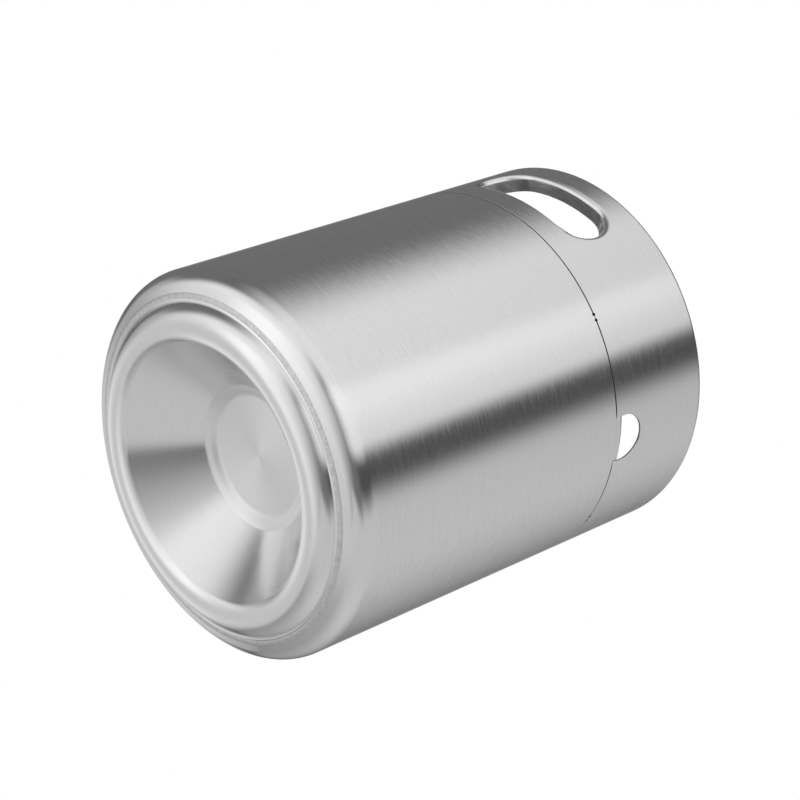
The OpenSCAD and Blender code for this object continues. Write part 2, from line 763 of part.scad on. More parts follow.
// Rod with a closing disc at its foot and an eye for the pull ring at its head
module relief_stem() {
    color(machined_steel) at_relief() difference() {
        union() {
            translate([0, 0, stem_disc_z]) cylinder(d = stem_disc_d, h = stem_disc_h, $fn = small_fn);
            translate([0, 0, stem_disc_z]) cylinder(d = stem_d, h = eye_z - stem_disc_z, $fn = small_fn);
            translate([-eye_w / 2, 0, eye_z]) rotate([0, 90, 0])
                cylinder(d = eye_d, h = eye_w, $fn = small_fn);
        }
        translate([-eye_w, 0, eye_z]) rotate([0, 90, 0])
            cylinder(d = eye_hole_d, h = 2 * eye_w, $fn = small_fn);
    }
}

module relief_stem_seal() {
    color(seal_rubber) at_relief() translate([0, 0, relief_seat_z])
        cylinder(d = stem_disc_d, h = stem_seal_h, $fn = small_fn);
}

module relief_spring() {
    color(steel) at_relief() translate([0, 0, relief_spring_z])
        coil(relief_coil_d, relief_wire_d, relief_cap_z - relief_spring_z, relief_turns);
}

// Wire ring through the stem's eye, leaning down on the screw ring
module relief_pull_ring() {
    color(machined_steel) at_relief() translate([0, 0, eye_z]) rotate([-pull_droop, 0, 0])
        translate([0, pull_r, 0]) rotate_extrude($fn = round_fn) translate([pull_r, 0])
            circle(d = pull_wire_d, $fn = small_fn);
}

base_dish();
base_weld();
body_shell();
top_dome();
dome_weld();
carry_collar();
collar_tacks();
neck_spout();
neck_weld();
head_plate();
head_gasket();
screw_ring();
gas_post();
gas_post_seal();
gas_poppet();
gas_poppet_seal();
gas_poppet_spring();
gas_tube();
gas_tube_seal();
beer_post();
beer_post_seal();
beer_poppet();
beer_poppet_seal();
beer_poppet_spring();
beer_dip_tube();
beer_tube_seal();
relief_body();
relief_body_seal();
relief_stem();
relief_stem_seal();
relief_spring();
relief_pull_ring();
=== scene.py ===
"""Small stainless drinks keg: smooth sheet, turned fittings, brushed finishes and a studio."""

import bmesh
import bpy
import numpy as np
from bpy.props import FloatProperty, FloatVectorProperty, IntProperty, PointerProperty
from mathutils import Matrix, Vector


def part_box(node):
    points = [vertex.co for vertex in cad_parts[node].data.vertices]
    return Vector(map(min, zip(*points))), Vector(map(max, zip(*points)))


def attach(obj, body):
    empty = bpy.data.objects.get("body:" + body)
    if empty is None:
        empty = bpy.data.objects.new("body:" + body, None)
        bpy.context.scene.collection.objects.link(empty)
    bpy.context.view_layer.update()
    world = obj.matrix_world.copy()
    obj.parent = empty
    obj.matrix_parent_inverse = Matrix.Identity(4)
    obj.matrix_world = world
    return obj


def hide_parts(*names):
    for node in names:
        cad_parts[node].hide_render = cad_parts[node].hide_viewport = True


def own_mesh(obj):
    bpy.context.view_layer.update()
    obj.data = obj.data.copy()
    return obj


bl_info = {
    "name": "Stainless mini keg",
    "version": (1, 0, 0),
    "blender": (4, 5, 0),
    "location": "View3D > Sidebar > Keg",
    "description": "Builds the keg's sheet, head and finishes round a packed frame",
    "category": "Add Mesh",
}

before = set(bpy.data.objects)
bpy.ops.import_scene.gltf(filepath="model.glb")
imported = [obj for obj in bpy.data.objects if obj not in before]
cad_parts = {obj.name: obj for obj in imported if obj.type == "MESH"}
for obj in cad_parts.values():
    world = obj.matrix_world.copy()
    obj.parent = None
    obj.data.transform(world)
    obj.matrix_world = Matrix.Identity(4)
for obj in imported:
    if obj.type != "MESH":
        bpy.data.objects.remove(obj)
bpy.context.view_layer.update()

MM = 0.001
# Columns round the keg and round a small turned piece, and the map that the brushing follows.
AROUND, SMALL_AROUND = 288, 96
BRUSH_MAP = "brush"
# Distance under which two points are one.
SAME_PLACE = 1e-7


def size(name, text, default):
    """Length property, written in millimetres."""
    return FloatProperty(
        name=name, description=text, default=default * MM, min=0.0, precision=5, unit="LENGTH")


def turn(name, text, default):
    """Angle property, written in degrees."""
    return FloatProperty(name=name, description=text, default=np.radians(default), unit="ROTATION")


def level(name, text, default, high=2.0):
    """Plain factor property."""
    return FloatProperty(name=name, description=text, default=default, min=0.0, max=high)


def colour(name, text, default):
    """Colour property, in linear light."""
    return FloatVectorProperty(
        name=name, description=text, default=default, size=3, subtype="COLOR", min=0.0, max=1.0)


class KegSizes(bpy.types.PropertyGroup):
    """Sizes that the frame's boxes don't give"""

    shell_sheet: size("Shell sheet", "Thickness of the body's sheet", 1.2)
    shoulder_r: size("Shoulder radius", "Radius of the rolled lower shoulder", 10.3)
    shoulder_z: size("Shoulder height", "Height at which the shoulder begins", 17.9)
    shoulder_turn: turn("Shoulder turn", "Turn of the shoulder's roll", 70)
    joggle_h: size("Joggle height", "Height of the step that necks the shell in", 0.4)
    joggle_r: size("Joggle radius", "Radius of the two bends of that step", 0.22)
    edge_reach: size("Edge reach", "Distance over which the collar's edges are rounded", 0.2)
    rim_reach: size("Rim round", "Distance over which the collar's upper edge is rounded", 1.6)
    dish_sheet: size("Dish sheet", "Thickness of the base dish's sheet", 1.2)
    dish_edge: size("Dish edge", "Height of the base's upturned edge", 12)
    foot_h: size("Foot height", "Height of the foot ring's flank where the weld meets it", 5.8)
    flank_w: size("Flank width", "Distance over which the flank's straight part leans in", 2.4)
    flank_h: size("Flank height", "Height of that straight part", 2.5)
    foot_low_r: size("Foot rim", "Radius at which the foot ring touches the floor", 72.4)
    cone_r: size("Cone", "Radius at which the cone's straight part begins", 64.8)
    cone_z: size("Cone foot", "Height at which the cone's straight part begins", 2.5)
    disc_step_r: size("Ring radius", "Radius at which the cone meets the ring round the disc", 36.8)
    disc_step_z: size("Ring height", "Height of that place", 29.7)
    disc_ring_r: size("Ring edge", "Radius of the ring's inner edge", 34.0)
    disc_ring_z: size("Ring edge height", "Height of that edge", 30.9)
    disc_r: size("Disc radius", "Radius at which the disc would meet its step without a fillet", 31.0)
    disc_z: size("Disc height", "Height of the flat disc", 33.0)
    disc_fillet_r: size("Disc fillet", "Radius of the fillet round the disc", 5)
    disc_round_r: size("Ring rounds", "Radius of the ring's two rounds", 3.2)
    sheet_gap: size("Sheet gap", "Gap between sheets that fit into each other", 0.1)
    dome_sheet: size("Dome sheet", "Thickness of the dome's sheet", 1.5)
    knuckle_r: size("Knuckle", "Radius of the dome's knuckle", 6)
    crown_rise: size("Crown rise", "Rise of the crown above the knuckle", 5)
    collar_sheet: size("Collar sheet", "Thickness of the collar's sheet", 1.3)
    hole_w: size("Hole width", "Width of a carry hole", 79.2)
    hole_h: size("Hole height", "Height of a carry hole", 33.6)
    hole_drop: size("Hole drop", "Distance of a carry hole's middle below the rim", 32.9)
    grip_depth: size("Grip depth", "Depth of the turned-in grip", 9.3)
    grip_bend_r: size("Grip bend", "Outer radius of the grip's bend", 3)
    notch_w: size("Notch width", "Width of a drain notch", 25)
    notch_h: size("Notch height", "Height of a drain notch above the seam", 19)
    notch_turn: turn("Notch direction", "Direction of the first drain notch", 85)
    seam_gap: size("Seam gap", "Gap between the step and the collar", 0.6)
    tack_count: IntProperty(name="Tacks", description="Number of tacks on the seam", default=5, min=1)
    tack_turn: turn("First tack", "Direction of the first tack", 47)
    tack_pitch: turn("Tack pitch", "Angle from one tack to the next", 68)


class KegHead(bpy.types.PropertyGroup):
    """Sizes of the spout, the ring and the fittings that the frame's boxes don't give"""

    spout_wall: size("Spout wall", "Wall of the spout", 2.5)
    thread_depth: size("Thread depth", "Depth of the spout's thread", 1.5)
    thread_pitch: size("Thread pitch", "Rise of the thread in one turn", 2.5)
    thread_l: size("Thread length", "Length of the threaded stretch below the mouth", 8.3)
    ring_wall: size("Ring wall", "Wall of the screw ring's skirt", 5.6)
    ring_lip_w: size("Lip width", "Width of the lip that reaches over the plate", 3.4)
    ring_lip_h: size("Lip height", "Height of that lip", 3)
    ring_round: size("Ring round", "Radius of the ring's upper outer edge", 1.3)
    flutes: IntProperty(
        name="Flutes", description="Number of finger flutes round the ring", default=12, min=3)
    flute_r: size("Flute radius", "Radius of a finger flute", 4)
    flute_depth: size("Flute depth", "Depth of a finger flute", 1.8)
    hex_w: size("Hexagon", "Width of a post's hexagon across its flats", 17.5)
    hex_h: size("Hexagon height", "Height of a post's hexagon", 9)
    barrel_r: size("Barrel", "Radius of a post's barrel", 7.6)
    ridge_r: size("Ridge", "Radius of the ridge that couplers lock on", 8.7)
    ridge_z: size("Ridge place", "Height of the ridge above the deck", 14)
    ridge_h: size("Ridge height", "Height of the ridge", 3.2)
    groove_z: size("Groove place", "Height of the nose seal above the deck", 21.85)
    groove_h: size("Groove height", "Height of the nose seal's groove", 2.7)
    groove_depth: size("Groove depth", "Depth of that groove", 1.7)
    seal_d: size("Nose seal", "Thickness of the nose seal", 2.6)
    mouth_r: size("Mouth", "Radius of a post's mouth", 3.5)
    seat_h: size("Seat depth", "Depth of the mouth down to its seat", 3)
    chamber_r: size("Chamber", "Radius of the chamber under the seat", 4.6)
    chamber_z: size("Chamber foot", "Height of the chamber's foot", 8.2)
    nipple_r: size("Nipple bore", "Radius of the bore for the nipple", 6.9)
    mark_depth: size("Gas mark depth", "Depth of the notches round the gas hexagon's corners", 1.1)
    mark_h: size("Gas mark height", "Height of those notches", 1.2)
    post_edge: size("Post edge", "Chamfer of a post's nose", 0.8)
    ridge_edge: size("Ridge edge", "Chamfer of the ridge", 0.5)
    tip_r: size("Tip", "Radius of a poppet's tip", 2.2)
    disc_h: size("Poppet disc", "Height of a poppet's disc", 1.6)
    disc_top: size("Poppet place", "Distance of the disc's top below the tip", 4.1)
    pilot_r: size("Pilot", "Radius of a poppet's pilot", 1.8)
    pilot_h: size("Pilot height", "Height of that pilot", 2.4)
    travel: size("Travel", "Travel of the poppets and of the relief stem, taken up by their springs", 3)
    wire_d: size("Pull wire", "Thickness of the pull ring's wire", 1.8)


class KegFinish(bpy.types.PropertyGroup):
    """Colours and brushing of the metals and seals"""

    steel: colour("Sheet steel", "Colour of the brushed sheet", (0.780, 0.780, 0.780))
    turned: colour("Turned steel", "Colour of the turned fittings", (0.800, 0.797, 0.790))
    bead: colour("Weld metal", "Colour of the weld beads", (0.660, 0.655, 0.645))
    wire: colour("Spring wire", "Colour of the spring wire", (0.780, 0.780, 0.775))
    # The seals' colour is also that of the burnt pits and of the painted shade in the seam.
    rubber: colour("Seal rubber", "Colour of the seals", (0.030, 0.030, 0.033))
    sheet_gloss: level("Sheet roughness", "Roughness of the brushed sheet", 0.22, 1.0)
    pressed_gloss: level("Pressed roughness", "Roughness of the pressed base", 0.19, 1.0)
    disc_gloss: level("Disc roughness", "Roughness of the base's disc and the ring round it", 0.40, 1.0)
    dull_gloss: level("Dome roughness", "Roughness of the dull dome", 0.36, 1.0)
    turned_gloss: level("Turned roughness", "Roughness of the turned fittings", 0.25, 1.0)
    # The dome's colour is darkened for painted shade, standing for the shade inside the collar.
    dome_painted_shade: level("Dome shade", "Share of the sheet's colour that the dull dome has", 0.42, 1.0)
    brush_stretch: level("Brushing", "How far the brushing draws highlights out", 0.85, 1.0)
    streak_l: size("Streak length", "Length of a brushed streak", 7)
    streak_w: size("Streak width", "Width of a brushed streak", 0.27)
    bare_z: size("Bare height", "Height up to which the shell is hardly brushed", 10)
    brushed_z: size("Brushed height", "Height from which the shell is fully brushed", 24)
    glossy_z: size("Glossy height", "Height up to which the base is glossy", 28.5)
    soft_z: size("Soft height", "Height from which the base is as rough as its disc", 30.5)


class KegStudio(bpy.types.PropertyGroup):
    """Camera and light"""

    camera_at: FloatVectorProperty(
        name="Camera", description="Place of the camera", size=3, default=(0.594, 0.734, -0.663),
        unit="LENGTH")
    camera_ahead: FloatVectorProperty(
        name="Ahead", description="Direction that the camera looks in", size=3,
        default=(-0.48077, -0.59661, 0.64250))
    camera_up: FloatVectorProperty(
        name="Up", description="Direction that is up in the picture", size=3,
        default=(0.8698, -0.4163, 0.2648))
    lens: FloatProperty(name="Lens", description="Focal length on a 36 mm sensor", default=108.76)
    dark: level("Dark", "Brightness of the studio between its lights", 0.085)
    low_dark: level("Low dark", "Brightness between the lights in front of the base", 0.17)
    over: level("Over", "Brightness straight over the rim", 0.06)
    under: level("Under", "Brightness straight in front of the base", 0.76)
    under_x: level("Under slope x", "Growth of that brightness with a ray's x", 0.3)
    under_y: level("Under slope y", "Fall of that brightness with a ray's y", 0.9)
    floor_r: size("Floor", "Radius of the floor", 2400)
    floor_pale: level("Floor tone", "Brightness and roughness of the floor", 0.9, 1.0)
    floor_glow: level("Floor glow", "Light that the floor adds of its own", 0.55)


# Each light of the tent: where it begins and is full, where it starts to fade and ends, in degrees round
# the keg, and its level. The tall lights stand round the keg, the middle and foot ones add light near its
# foot, the low and side ones lie in front of its base, and strip_foot is the strip box's lower end.
LIGHTS = {
    "tall": {
        "backdrop": (-153, -138, -122, -106, 0.55),
        "dim_side": (-112, -100, -60, -30, 0.09),
        "strip_box": (-52, -6, 63, 75, 0.82),
        "bright_strip": (26, 37, 40, 62, 0.17),
        "side_card": (84, 104, 135, 235, 0.55),
    },
    "middle": {"side_glow": (130, 172, 206, 208, 0.13)},
    "foot": {"card_glow": (-154, -152, -94, -76, 0.30)},
    "low": {
        "base_card": (-154, -152, -6, 40, 0.48),
        "base_box": (-125, -70, -5, 34, 0.32),
        "low_side": (96, 112, 145, 250, 0.46),
    },
    "strip_foot": {"strip_foot": (22, 36, 62, 76, 0.50)},
    "side": {"side_under": (96, 112, 206, 208, 0.48)},
}
# Upward part of a ray's direction at which each group begins to show, and at which it shows in full.
HEIGHTS = {
    "middle": (0.5, 0.05), "foot": (0.05, -0.2), "low": (-0.26, -0.6), "strip_foot": (-0.82, -0.58),
    "under": (-0.68, -0.88), "side": (-0.97, -0.9), "over": (0.76, 0.9),
}
# Directions round the keg run from the first to the second, in degrees.
AROUND_START, AROUND_END = -152.0, 208.0

BOXES = {}


def corner(name, end, axis):
    """One coordinate of a CAD node's box: end is 0 for the lowest corner and 1 for the highest."""
    if name not in BOXES:
        BOXES[name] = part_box(name)
    return BOXES[name][end][axis]


def middle_of(name):
    """Middle of a CAD node's box, seen from above."""
    return tuple((corner(name, 0, axis) + corner(name, 1, axis)) / 2 for axis in (0, 1))


def sizes():
    """The keg's sizes in this scene."""
    return bpy.context.scene.keg_sizes


def levels():
    """The keg's main radii and heights, from the frame."""
    return {
        "body_r": corner("body_shell", 1, 0),
        "seam_z": corner("carry_collar", 0, 2) - sizes().seam_gap,
        "shell_top_z": corner("body_shell", 1, 2),
        "foot_r": corner("base_dish", 1, 0),
    }


def arc(centre, radius, start, end, step=6):
    """Points of an arc about a centre, from one angle in degrees to another, both included."""
    count = max(2, int(abs(end - start) / step) + 1)
    angle = np.radians(np.linspace(start, end, count))
    return np.asarray(centre) + radius * np.stack([np.cos(angle), np.sin(angle)], axis=1)


def rounded(corners, radii, step=6):
    """Line through corners, each turned on an arc that touches both of its sides."""
    corners = np.asarray(corners, float)
    pieces = [corners[:1]]
    for before, here, after, radius in zip(corners[:-2], corners[1:-1], corners[2:], radii):
        back = (before - here) / np.linalg.norm(before - here)
        ahead = (after - here) / np.linalg.norm(after - here)
        half = np.arccos(np.clip(back @ ahead, -1, 1)) / 2
        middle = (back + ahead) / np.linalg.norm(back + ahead)
        centre = here + middle * radius / np.sin(half)
        first = here + back * radius / np.tan(half) - centre
        last = here + ahead * radius / np.tan(half) - centre
        a0 = np.degrees(np.arctan2(first[1], first[0]))
        a1 = np.degrees(np.arctan2(last[1], last[0]))
        pieces.append(arc(centre, radius, a0, a0 + (a1 - a0 + 180) % 360 - 180, step))
    pieces.append(corners[-1:])
    return np.concatenate(pieces)


def directions(line, closed):
    """Unit directions along a line at each point, from the chord between its neighbours."""
    ahead = np.roll(line, -1, axis=0)
    behind = np.roll(line, 1, axis=0)
    if not closed:
        ahead[-1] = line[-1]
        behind[0] = line[0]
    chord = ahead - behind
    return chord / np.linalg.norm(chord, axis=1)[:, None]


def right_of(ways):
    """Unit normals to the right of directions in the r-z plane, which is outside on a section."""
    return np.stack([ways[:, 1], -ways[:, 0]], axis=1)


def end_cap(point, way, thickness, step=15):
    """Half circle from a sheet's outer face round its edge to its inner face."""
    normal = np.array([way[1], -way[0]])
    turned = np.radians(np.arange(step, 180, step))[:, None]
    return point - normal * thickness / 2 + thickness / 2 * (normal * np.cos(turned) + way * np.sin(turned))


def sheet_section(line, thickness, open_start=False):
    """Outline of a sheet from its outer face: the face, a round edge, the inner face and a round edge.

    The inner face is each point of the outer one moved by the thickness against its normal."""
    ways = directions(line, False)
    inner = (line - thickness * right_of(ways))[::-1]
    outline = [line, end_cap(line[-1], ways[-1], thickness), inner]
    if not open_start:
        outline.append(end_cap(inner[-1], -ways[0], thickness))
    return np.concatenate(outline)


def weld(mesh):
    """Merges points that share a place, which closes poles and seams."""
    work = bmesh.new()
    work.from_mesh(mesh)
    bmesh.ops.remove_doubles(work, verts=work.verts, dist=SAME_PLACE)
    work.to_mesh(mesh)
    work.free()


def grid_faces(rows, columns, closed_rows, closed_columns):
    """Corner indices of the quads of a grid, as row and column numbers that don't wrap."""
    i, j = np.meshgrid(
        np.arange(rows - (not closed_rows)), np.arange(columns - (not closed_columns)), indexing="ij")
    i, j = i.ravel(), j.ravel()
    row = np.stack([i, i, i + 1, i + 1], axis=1)
    column = np.stack([j, j + 1, j + 1, j], axis=1)
    return row, column


def surface(name, grids, keep_normals=True, sharp=None):
    """Mesh object from grids of points, each (points, normals, brush, closed rows, closed columns).

    A grid's rows follow the section and its columns go around, so that column x row points outwards.
    brush is the map: each point's two coordinates, or each row's length along the section. The finish is
    brushed across the map's first coordinate."""
    points, normals, faces, maps = [], [], [], []
    first = 0
    for grid, normal, brush, closed_rows, closed_columns in grids:
        rows, columns = grid.shape[:2]
        row, column = grid_faces(rows, columns, closed_rows, closed_columns)
        faces.append(first + (row % rows) * columns + column % columns)
        brush = np.asarray(brush, float)
        if brush.ndim == 3:
            maps.append(brush[row % rows, column % columns].reshape(-1, 2))
        else:
            brush = np.append(brush.ravel(), 2 * brush.ravel()[-1] - brush.ravel()[-2])
            maps.append(np.stack([brush[row], column / columns], axis=-1).reshape(-1, 2))
        points.append(grid.reshape(-1, 3))
        normals.append(np.zeros((rows * columns, 3)) if normal is None else normal.reshape(-1, 3))
        first += rows * columns
    mesh = bpy.data.meshes.new(name)
    mesh.from_pydata(np.concatenate(points), [], np.concatenate(faces).tolist())
    mesh.uv_layers.new(name=BRUSH_MAP).data.foreach_set("uv", np.concatenate(maps).astype(np.float32).ravel())
    if keep_normals:
        kept = mesh.attributes.new("kept_normal", "FLOAT_VECTOR", "POINT")
        kept.data.foreach_set("vector", np.concatenate(normals).astype(np.float32).ravel())
    weld(mesh)
    mesh.shade_smooth()
    if keep_normals:
        kept = mesh.attributes["kept_normal"]
        vectors = np.zeros(len(mesh.vertices) * 3, np.float32)
        kept.data.foreach_get("vector", vectors)
        mesh.attributes.remove(kept)
        mesh.normals_split_custom_set_from_vertices(vectors.reshape(-1, 3).tolist())
    elif sharp:
        mesh.set_sharp_from_angle(angle=np.radians(sharp))
    piece = bpy.data.objects.new(name, mesh)
    bpy.context.scene.collection.objects.link(piece)
    return piece


def lengths(line):
    """Distance along a line at each of its points."""
    return np.concatenate([[0], np.cumsum(np.linalg.norm(np.diff(line, axis=0), axis=1))])


def turned_grid(section, closed, centre=(0, 0), around=AROUND):
    """Section in the r-z plane carried round an upright axis: (r cos a, r sin a, z) for every angle a."""
    angle = np.arange(around) * 2 * np.pi / around
    normal = right_of(directions(section, closed))
    ring = np.stack([np.cos(angle), np.sin(angle)], axis=1)
    flat = section[:, None, :1] * ring + np.asarray(centre)
    upright = np.ones((1, around, 1))
    grid = np.dstack([flat, section[:, None, 1:] * upright])
    tilt = np.dstack([normal[:, None, :1] * ring, normal[:, None, 1:] * upright])
    return grid, tilt, lengths(section), closed, True


def lathe(name, section, closed=True, centre=(0, 0), around=AROUND):
    """Mesh object of a section carried round an upright axis."""
    return surface(name, [turned_grid(section, closed, centre, around)])


def place(piece, body, slot, finish, *nodes):
    """Gives a finished piece its body and material and hides the CAD nodes that it stands for; slot is not
    used.
    """
    piece.data.materials.append(finish)
    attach(piece, body)
    if nodes:
        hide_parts(*nodes)
    return piece


# Materials


def feed(tree, socket, value):
    """Links a socket to another node's output, or sets it to a plain value."""
    if isinstance(value, bpy.types.NodeSocket):
        tree.links.new(value, socket)
    else:
        socket.default_value = value


def math_node(tree, operation, first, second=0.0, third=0.0):
    """Result of one operation on sockets or plain numbers."""
    made = tree.nodes.new("ShaderNodeMath")
    made.operation = operation
    for socket, value in zip(made.inputs, (first, second, third)):
        feed(tree, socket, value)
    return made.outputs[0]


def mixed(tree, kind, share, first, second):
    """Mix of two values or colours: the first at a share of 0, the second at a share of 1."""
    made = tree.nodes.new("ShaderNodeMix")
    made.data_type = kind
    for key, value in (("Factor", share), ("A", first), ("B", second)):
        feed(tree, made.inputs[key], value)
    return made.outputs["Result"]


def ranged(tree, value, low, high, to_low, to_high):
    """Value carried smoothly from one range to another, held at its ends."""
    made = tree.nodes.new("ShaderNodeMapRange")
    made.interpolation_type = "SMOOTHSTEP"
    keys = ("Value", "From Min", "From Max", "To Min", "To Max")
    for key, number in zip(keys, (value, low, high, to_low, to_high)):
        feed(tree, made.inputs[key], number)
    return made.outputs["Result"]


def noise(tree, vector, scale, detail, roughness):
    """Noise between 0 and 1 at a vector."""
    made = tree.nodes.new("ShaderNodeTexNoise")
    keys = ("Vector", "Scale", "Detail", "Roughness")
    for key, value in zip(keys, (vector, scale, detail, roughness)):
        feed(tree, made.inputs[key], value)
    return made.outputs["Fac"]


def new_material(name):
    """New material with its node tree and its shader."""
    made = bpy.data.materials.new(name)
    made.use_nodes = True
    return made, made.node_tree, made.node_tree.nodes["Principled BSDF"]


def object_point(tree):
    """Place on the piece, in metres."""
    return tree.nodes.new("ShaderNodeTexCoord").outputs["Object"]


def xyz(tree, vector):
    """X, Y and Z of a vector."""
    split = tree.nodes.new("ShaderNodeSeparateXYZ")
    tree.links.new(vector, split.inputs[0])
    return [split.outputs[part] for part in "XYZ"]


def streak_vector(tree, long, across):
    """Coordinates that change slowly round the axis and fast along the section: noise on them is streaks."""
    x, y, _ = xyz(tree, object_point(tree))
    brush = tree.nodes.new("ShaderNodeUVMap")
    brush.uv_map = BRUSH_MAP
    along = xyz(tree, brush.outputs[0])[0]
    joined = tree.nodes.new("ShaderNodeCombineXYZ")
    for part, value, scale in (("X", x, long), ("Y", y, long), ("Z", along, across)):
        tree.links.new(math_node(tree, "DIVIDE", value, scale), joined.inputs[part])
    return joined.outputs[0]


def tinted(tree, base, shade, low, high):
    """Base colour, times low where the shade is 0 and times high where it is 1."""
    darker, lighter = ((*[min(c * factor, 1) for c in base], 1) for factor in (low, high))
    return mixed(tree, "RGBA", shade, darker, lighter)


def bumped(tree, height, distance, strength=1.0):
    """Normal tilted by the slope of a height."""
    made = tree.nodes.new("ShaderNodeBump")
    keys = ("Height", "Distance", "Strength")
    for key, value in zip(keys, (height, distance, strength)):
        feed(tree, made.inputs[key], value)
    return made.outputs["Normal"]


# Noise as scale, detail and roughness, and the noise values between which a finish changes.
FINE_STREAKS, BROAD_STREAKS, FINE_SHARE = (1.0, 3.0, 0.6), (0.3, 2.0, 0.5), 0.8
NOISE_LOW, NOISE_HIGH = 0.3, 0.7
STREAK_RISE = 0.002 * MM
TOOL_MARKS, DIE_MARKS = (1500.0, 2.0, 0.5), (1400.0, 2.0, 0.5)
WELD_PATCHES, WELD_GRAINS = (420.0, 2.0, 0.6), (900.0, 3.0, 0.7)
RUBBER_BLOOM, RUBBER_GRAIN = (120.0, 3.0, 0.5), (2500.0, 2.0, 0.5)
BARE_STREAKS, BARE_GLOSS = 0.2, 0.65


def brushed_steel(name, base, gloss, stretch, streak_w, contrast, uneven, bare=None):
    """Steel brushed along its columns: streaks in colour, gloss and height, and highlights drawn across them.

    bare is two heights and the shares of the streaks and of the roughness that are left below the first. They
    grow to the whole at the second."""
    made, tree, shader = new_material(name)
    vector = streak_vector(tree, bpy.context.scene.keg_finish.streak_l, streak_w)
    fine, broad = noise(tree, vector, *FINE_STREAKS), noise(tree, vector, *BROAD_STREAKS)
    broad = math_node(tree, "MULTIPLY", broad, 1 - FINE_SHARE)
    streaks = math_node(tree, "MULTIPLY_ADD", fine, FINE_SHARE, broad)
    gloss_here = 1.0
    if bare:
        low, high, streaks_left, gloss_left = bare
        height = xyz(tree, object_point(tree))[2]
        share = ranged(tree, height, low, high, streaks_left, 1.0)
        streaks = math_node(tree, "MULTIPLY_ADD", math_node(tree, "SUBTRACT", streaks, 0.5), share, 0.5)
        gloss_here = ranged(tree, height, low, high, gloss_left, 1.0)
    shade = ranged(tree, streaks, NOISE_LOW, NOISE_HIGH, 0, 1)
    tree.links.new(tinted(tree, base, shade, 1 - contrast, 1 + contrast), shader.inputs["Base Color"])
    rough = ranged(tree, streaks, NOISE_LOW, NOISE_HIGH, gloss * (1 - uneven), gloss * (1 + uneven))
    tree.links.new(math_node(tree, "MULTIPLY", rough, gloss_here), shader.inputs["Roughness"])
    tree.links.new(bumped(tree, fine, STREAK_RISE), shader.inputs["Normal"])
    shader.inputs["Metallic"].default_value = 1.0
    shader.inputs["Anisotropic"].default_value = stretch
    tangent = tree.nodes.new("ShaderNodeTangent")
    tangent.direction_type = "UV_MAP"
    tangent.uv_map = BRUSH_MAP
    tree.links.new(tangent.outputs[0], shader.inputs["Tangent"])
    return made


def grained(name, base, metallic, tint, gloss, rise=None):
    """Finish without a direction.

    tint and gloss are a noise and the range that it gives, rise is a noise, its height and its strength."""
    made, tree, shader = new_material(name)
    where = object_point(tree)
    tree.links.new(tinted(tree, base, noise(tree, where, *tint[0]), *tint[1:]), shader.inputs["Base Color"])
    rough = ranged(tree, noise(tree, where, *gloss[0]), NOISE_LOW, NOISE_HIGH, *gloss[1:])
    tree.links.new(rough, shader.inputs["Roughness"])
    if rise:
        tree.links.new(bumped(tree, noise(tree, where, *rise[0]), *rise[1:]), shader.inputs["Normal"])
    shader.inputs["Metallic"].default_value = metallic
    return made


def material(name):
    """One of the keg's materials, made when it is first asked for."""
    if name in bpy.data.materials:
        return bpy.data.materials[name]
    f = bpy.context.scene.keg_finish
    # Colour, roughness, stretch of the highlights, width of the streaks, their contrast in colour and in
    # roughness, and what is left of them below a height.
    brushed = {
        "brushed_sheet": (
            f.steel, f.sheet_gloss, f.brush_stretch, f.streak_w, 0.09, 0.24,
            (f.bare_z, f.brushed_z, BARE_STREAKS, BARE_GLOSS)),
        "pressed_sheet": (
            f.steel, f.disc_gloss, 0.6, f.streak_w, 0.025, 0.09,
            (f.glossy_z, f.soft_z, 1.0, f.pressed_gloss / f.disc_gloss)),
        # Dome sheet: dull, and its colour darkened for painted shade inside the collar.
        "dull_painted_shade_sheet": (
            [c * f.dome_painted_shade for c in f.steel], f.dull_gloss, 0.5, f.streak_w, 0.08, 0.22),
        "turned_steel": (f.turned, f.turned_gloss, 0.7, f.streak_w / 2, 0.03, 0.22),
    }
    if name in brushed:
        return brushed_steel(name, *brushed[name])
    weld_look = ((WELD_PATCHES, 0.72, 1.22), (WELD_GRAINS, 0.28, 0.46), (WELD_GRAINS, 0.2 * MM, 1.0))
    # Colour, metal or not, and the noises with the ranges that they give to the colour and the roughness.
    plain = {
        "turned_plain": (f.turned, 1.0, (TOOL_MARKS, 0.985, 1.015), (TOOL_MARKS, 0.22, 0.30)),
        "bright_wire": (f.wire, 1.0, (DIE_MARKS, 0.94, 1.04), (DIE_MARKS, 0.16, 0.26)),
        "weld_metal": (f.bead, 1.0, *weld_look),
        # This finish is the real burn of the tack pits and the painted shade in the seam, standing for its
        # shadow.
        "burn_and_painted_shade": (f.rubber, 1.0, *weld_look),
        "seal_rubber": (
            f.rubber, 0.0, (RUBBER_BLOOM, 0.8, 1.5), (RUBBER_BLOOM, 0.42, 0.58),
            (RUBBER_GRAIN, 0.015 * MM, 0.5)),
    }
    return grained(name, *plain[name])


# Sheet pieces of the vessel


def bow(start, middle, end, count=13):
    """Parabola from start a to end c that leaves towards the middle b: (1-u)^2 a + 2u(1-u) b + u^2 c."""
    u = np.linspace(0, 1, count)[:, None]
    return (1 - u) ** 2 * np.array(start) + 2 * u * (1 - u) * np.array(middle) + u ** 2 * np.array(end)


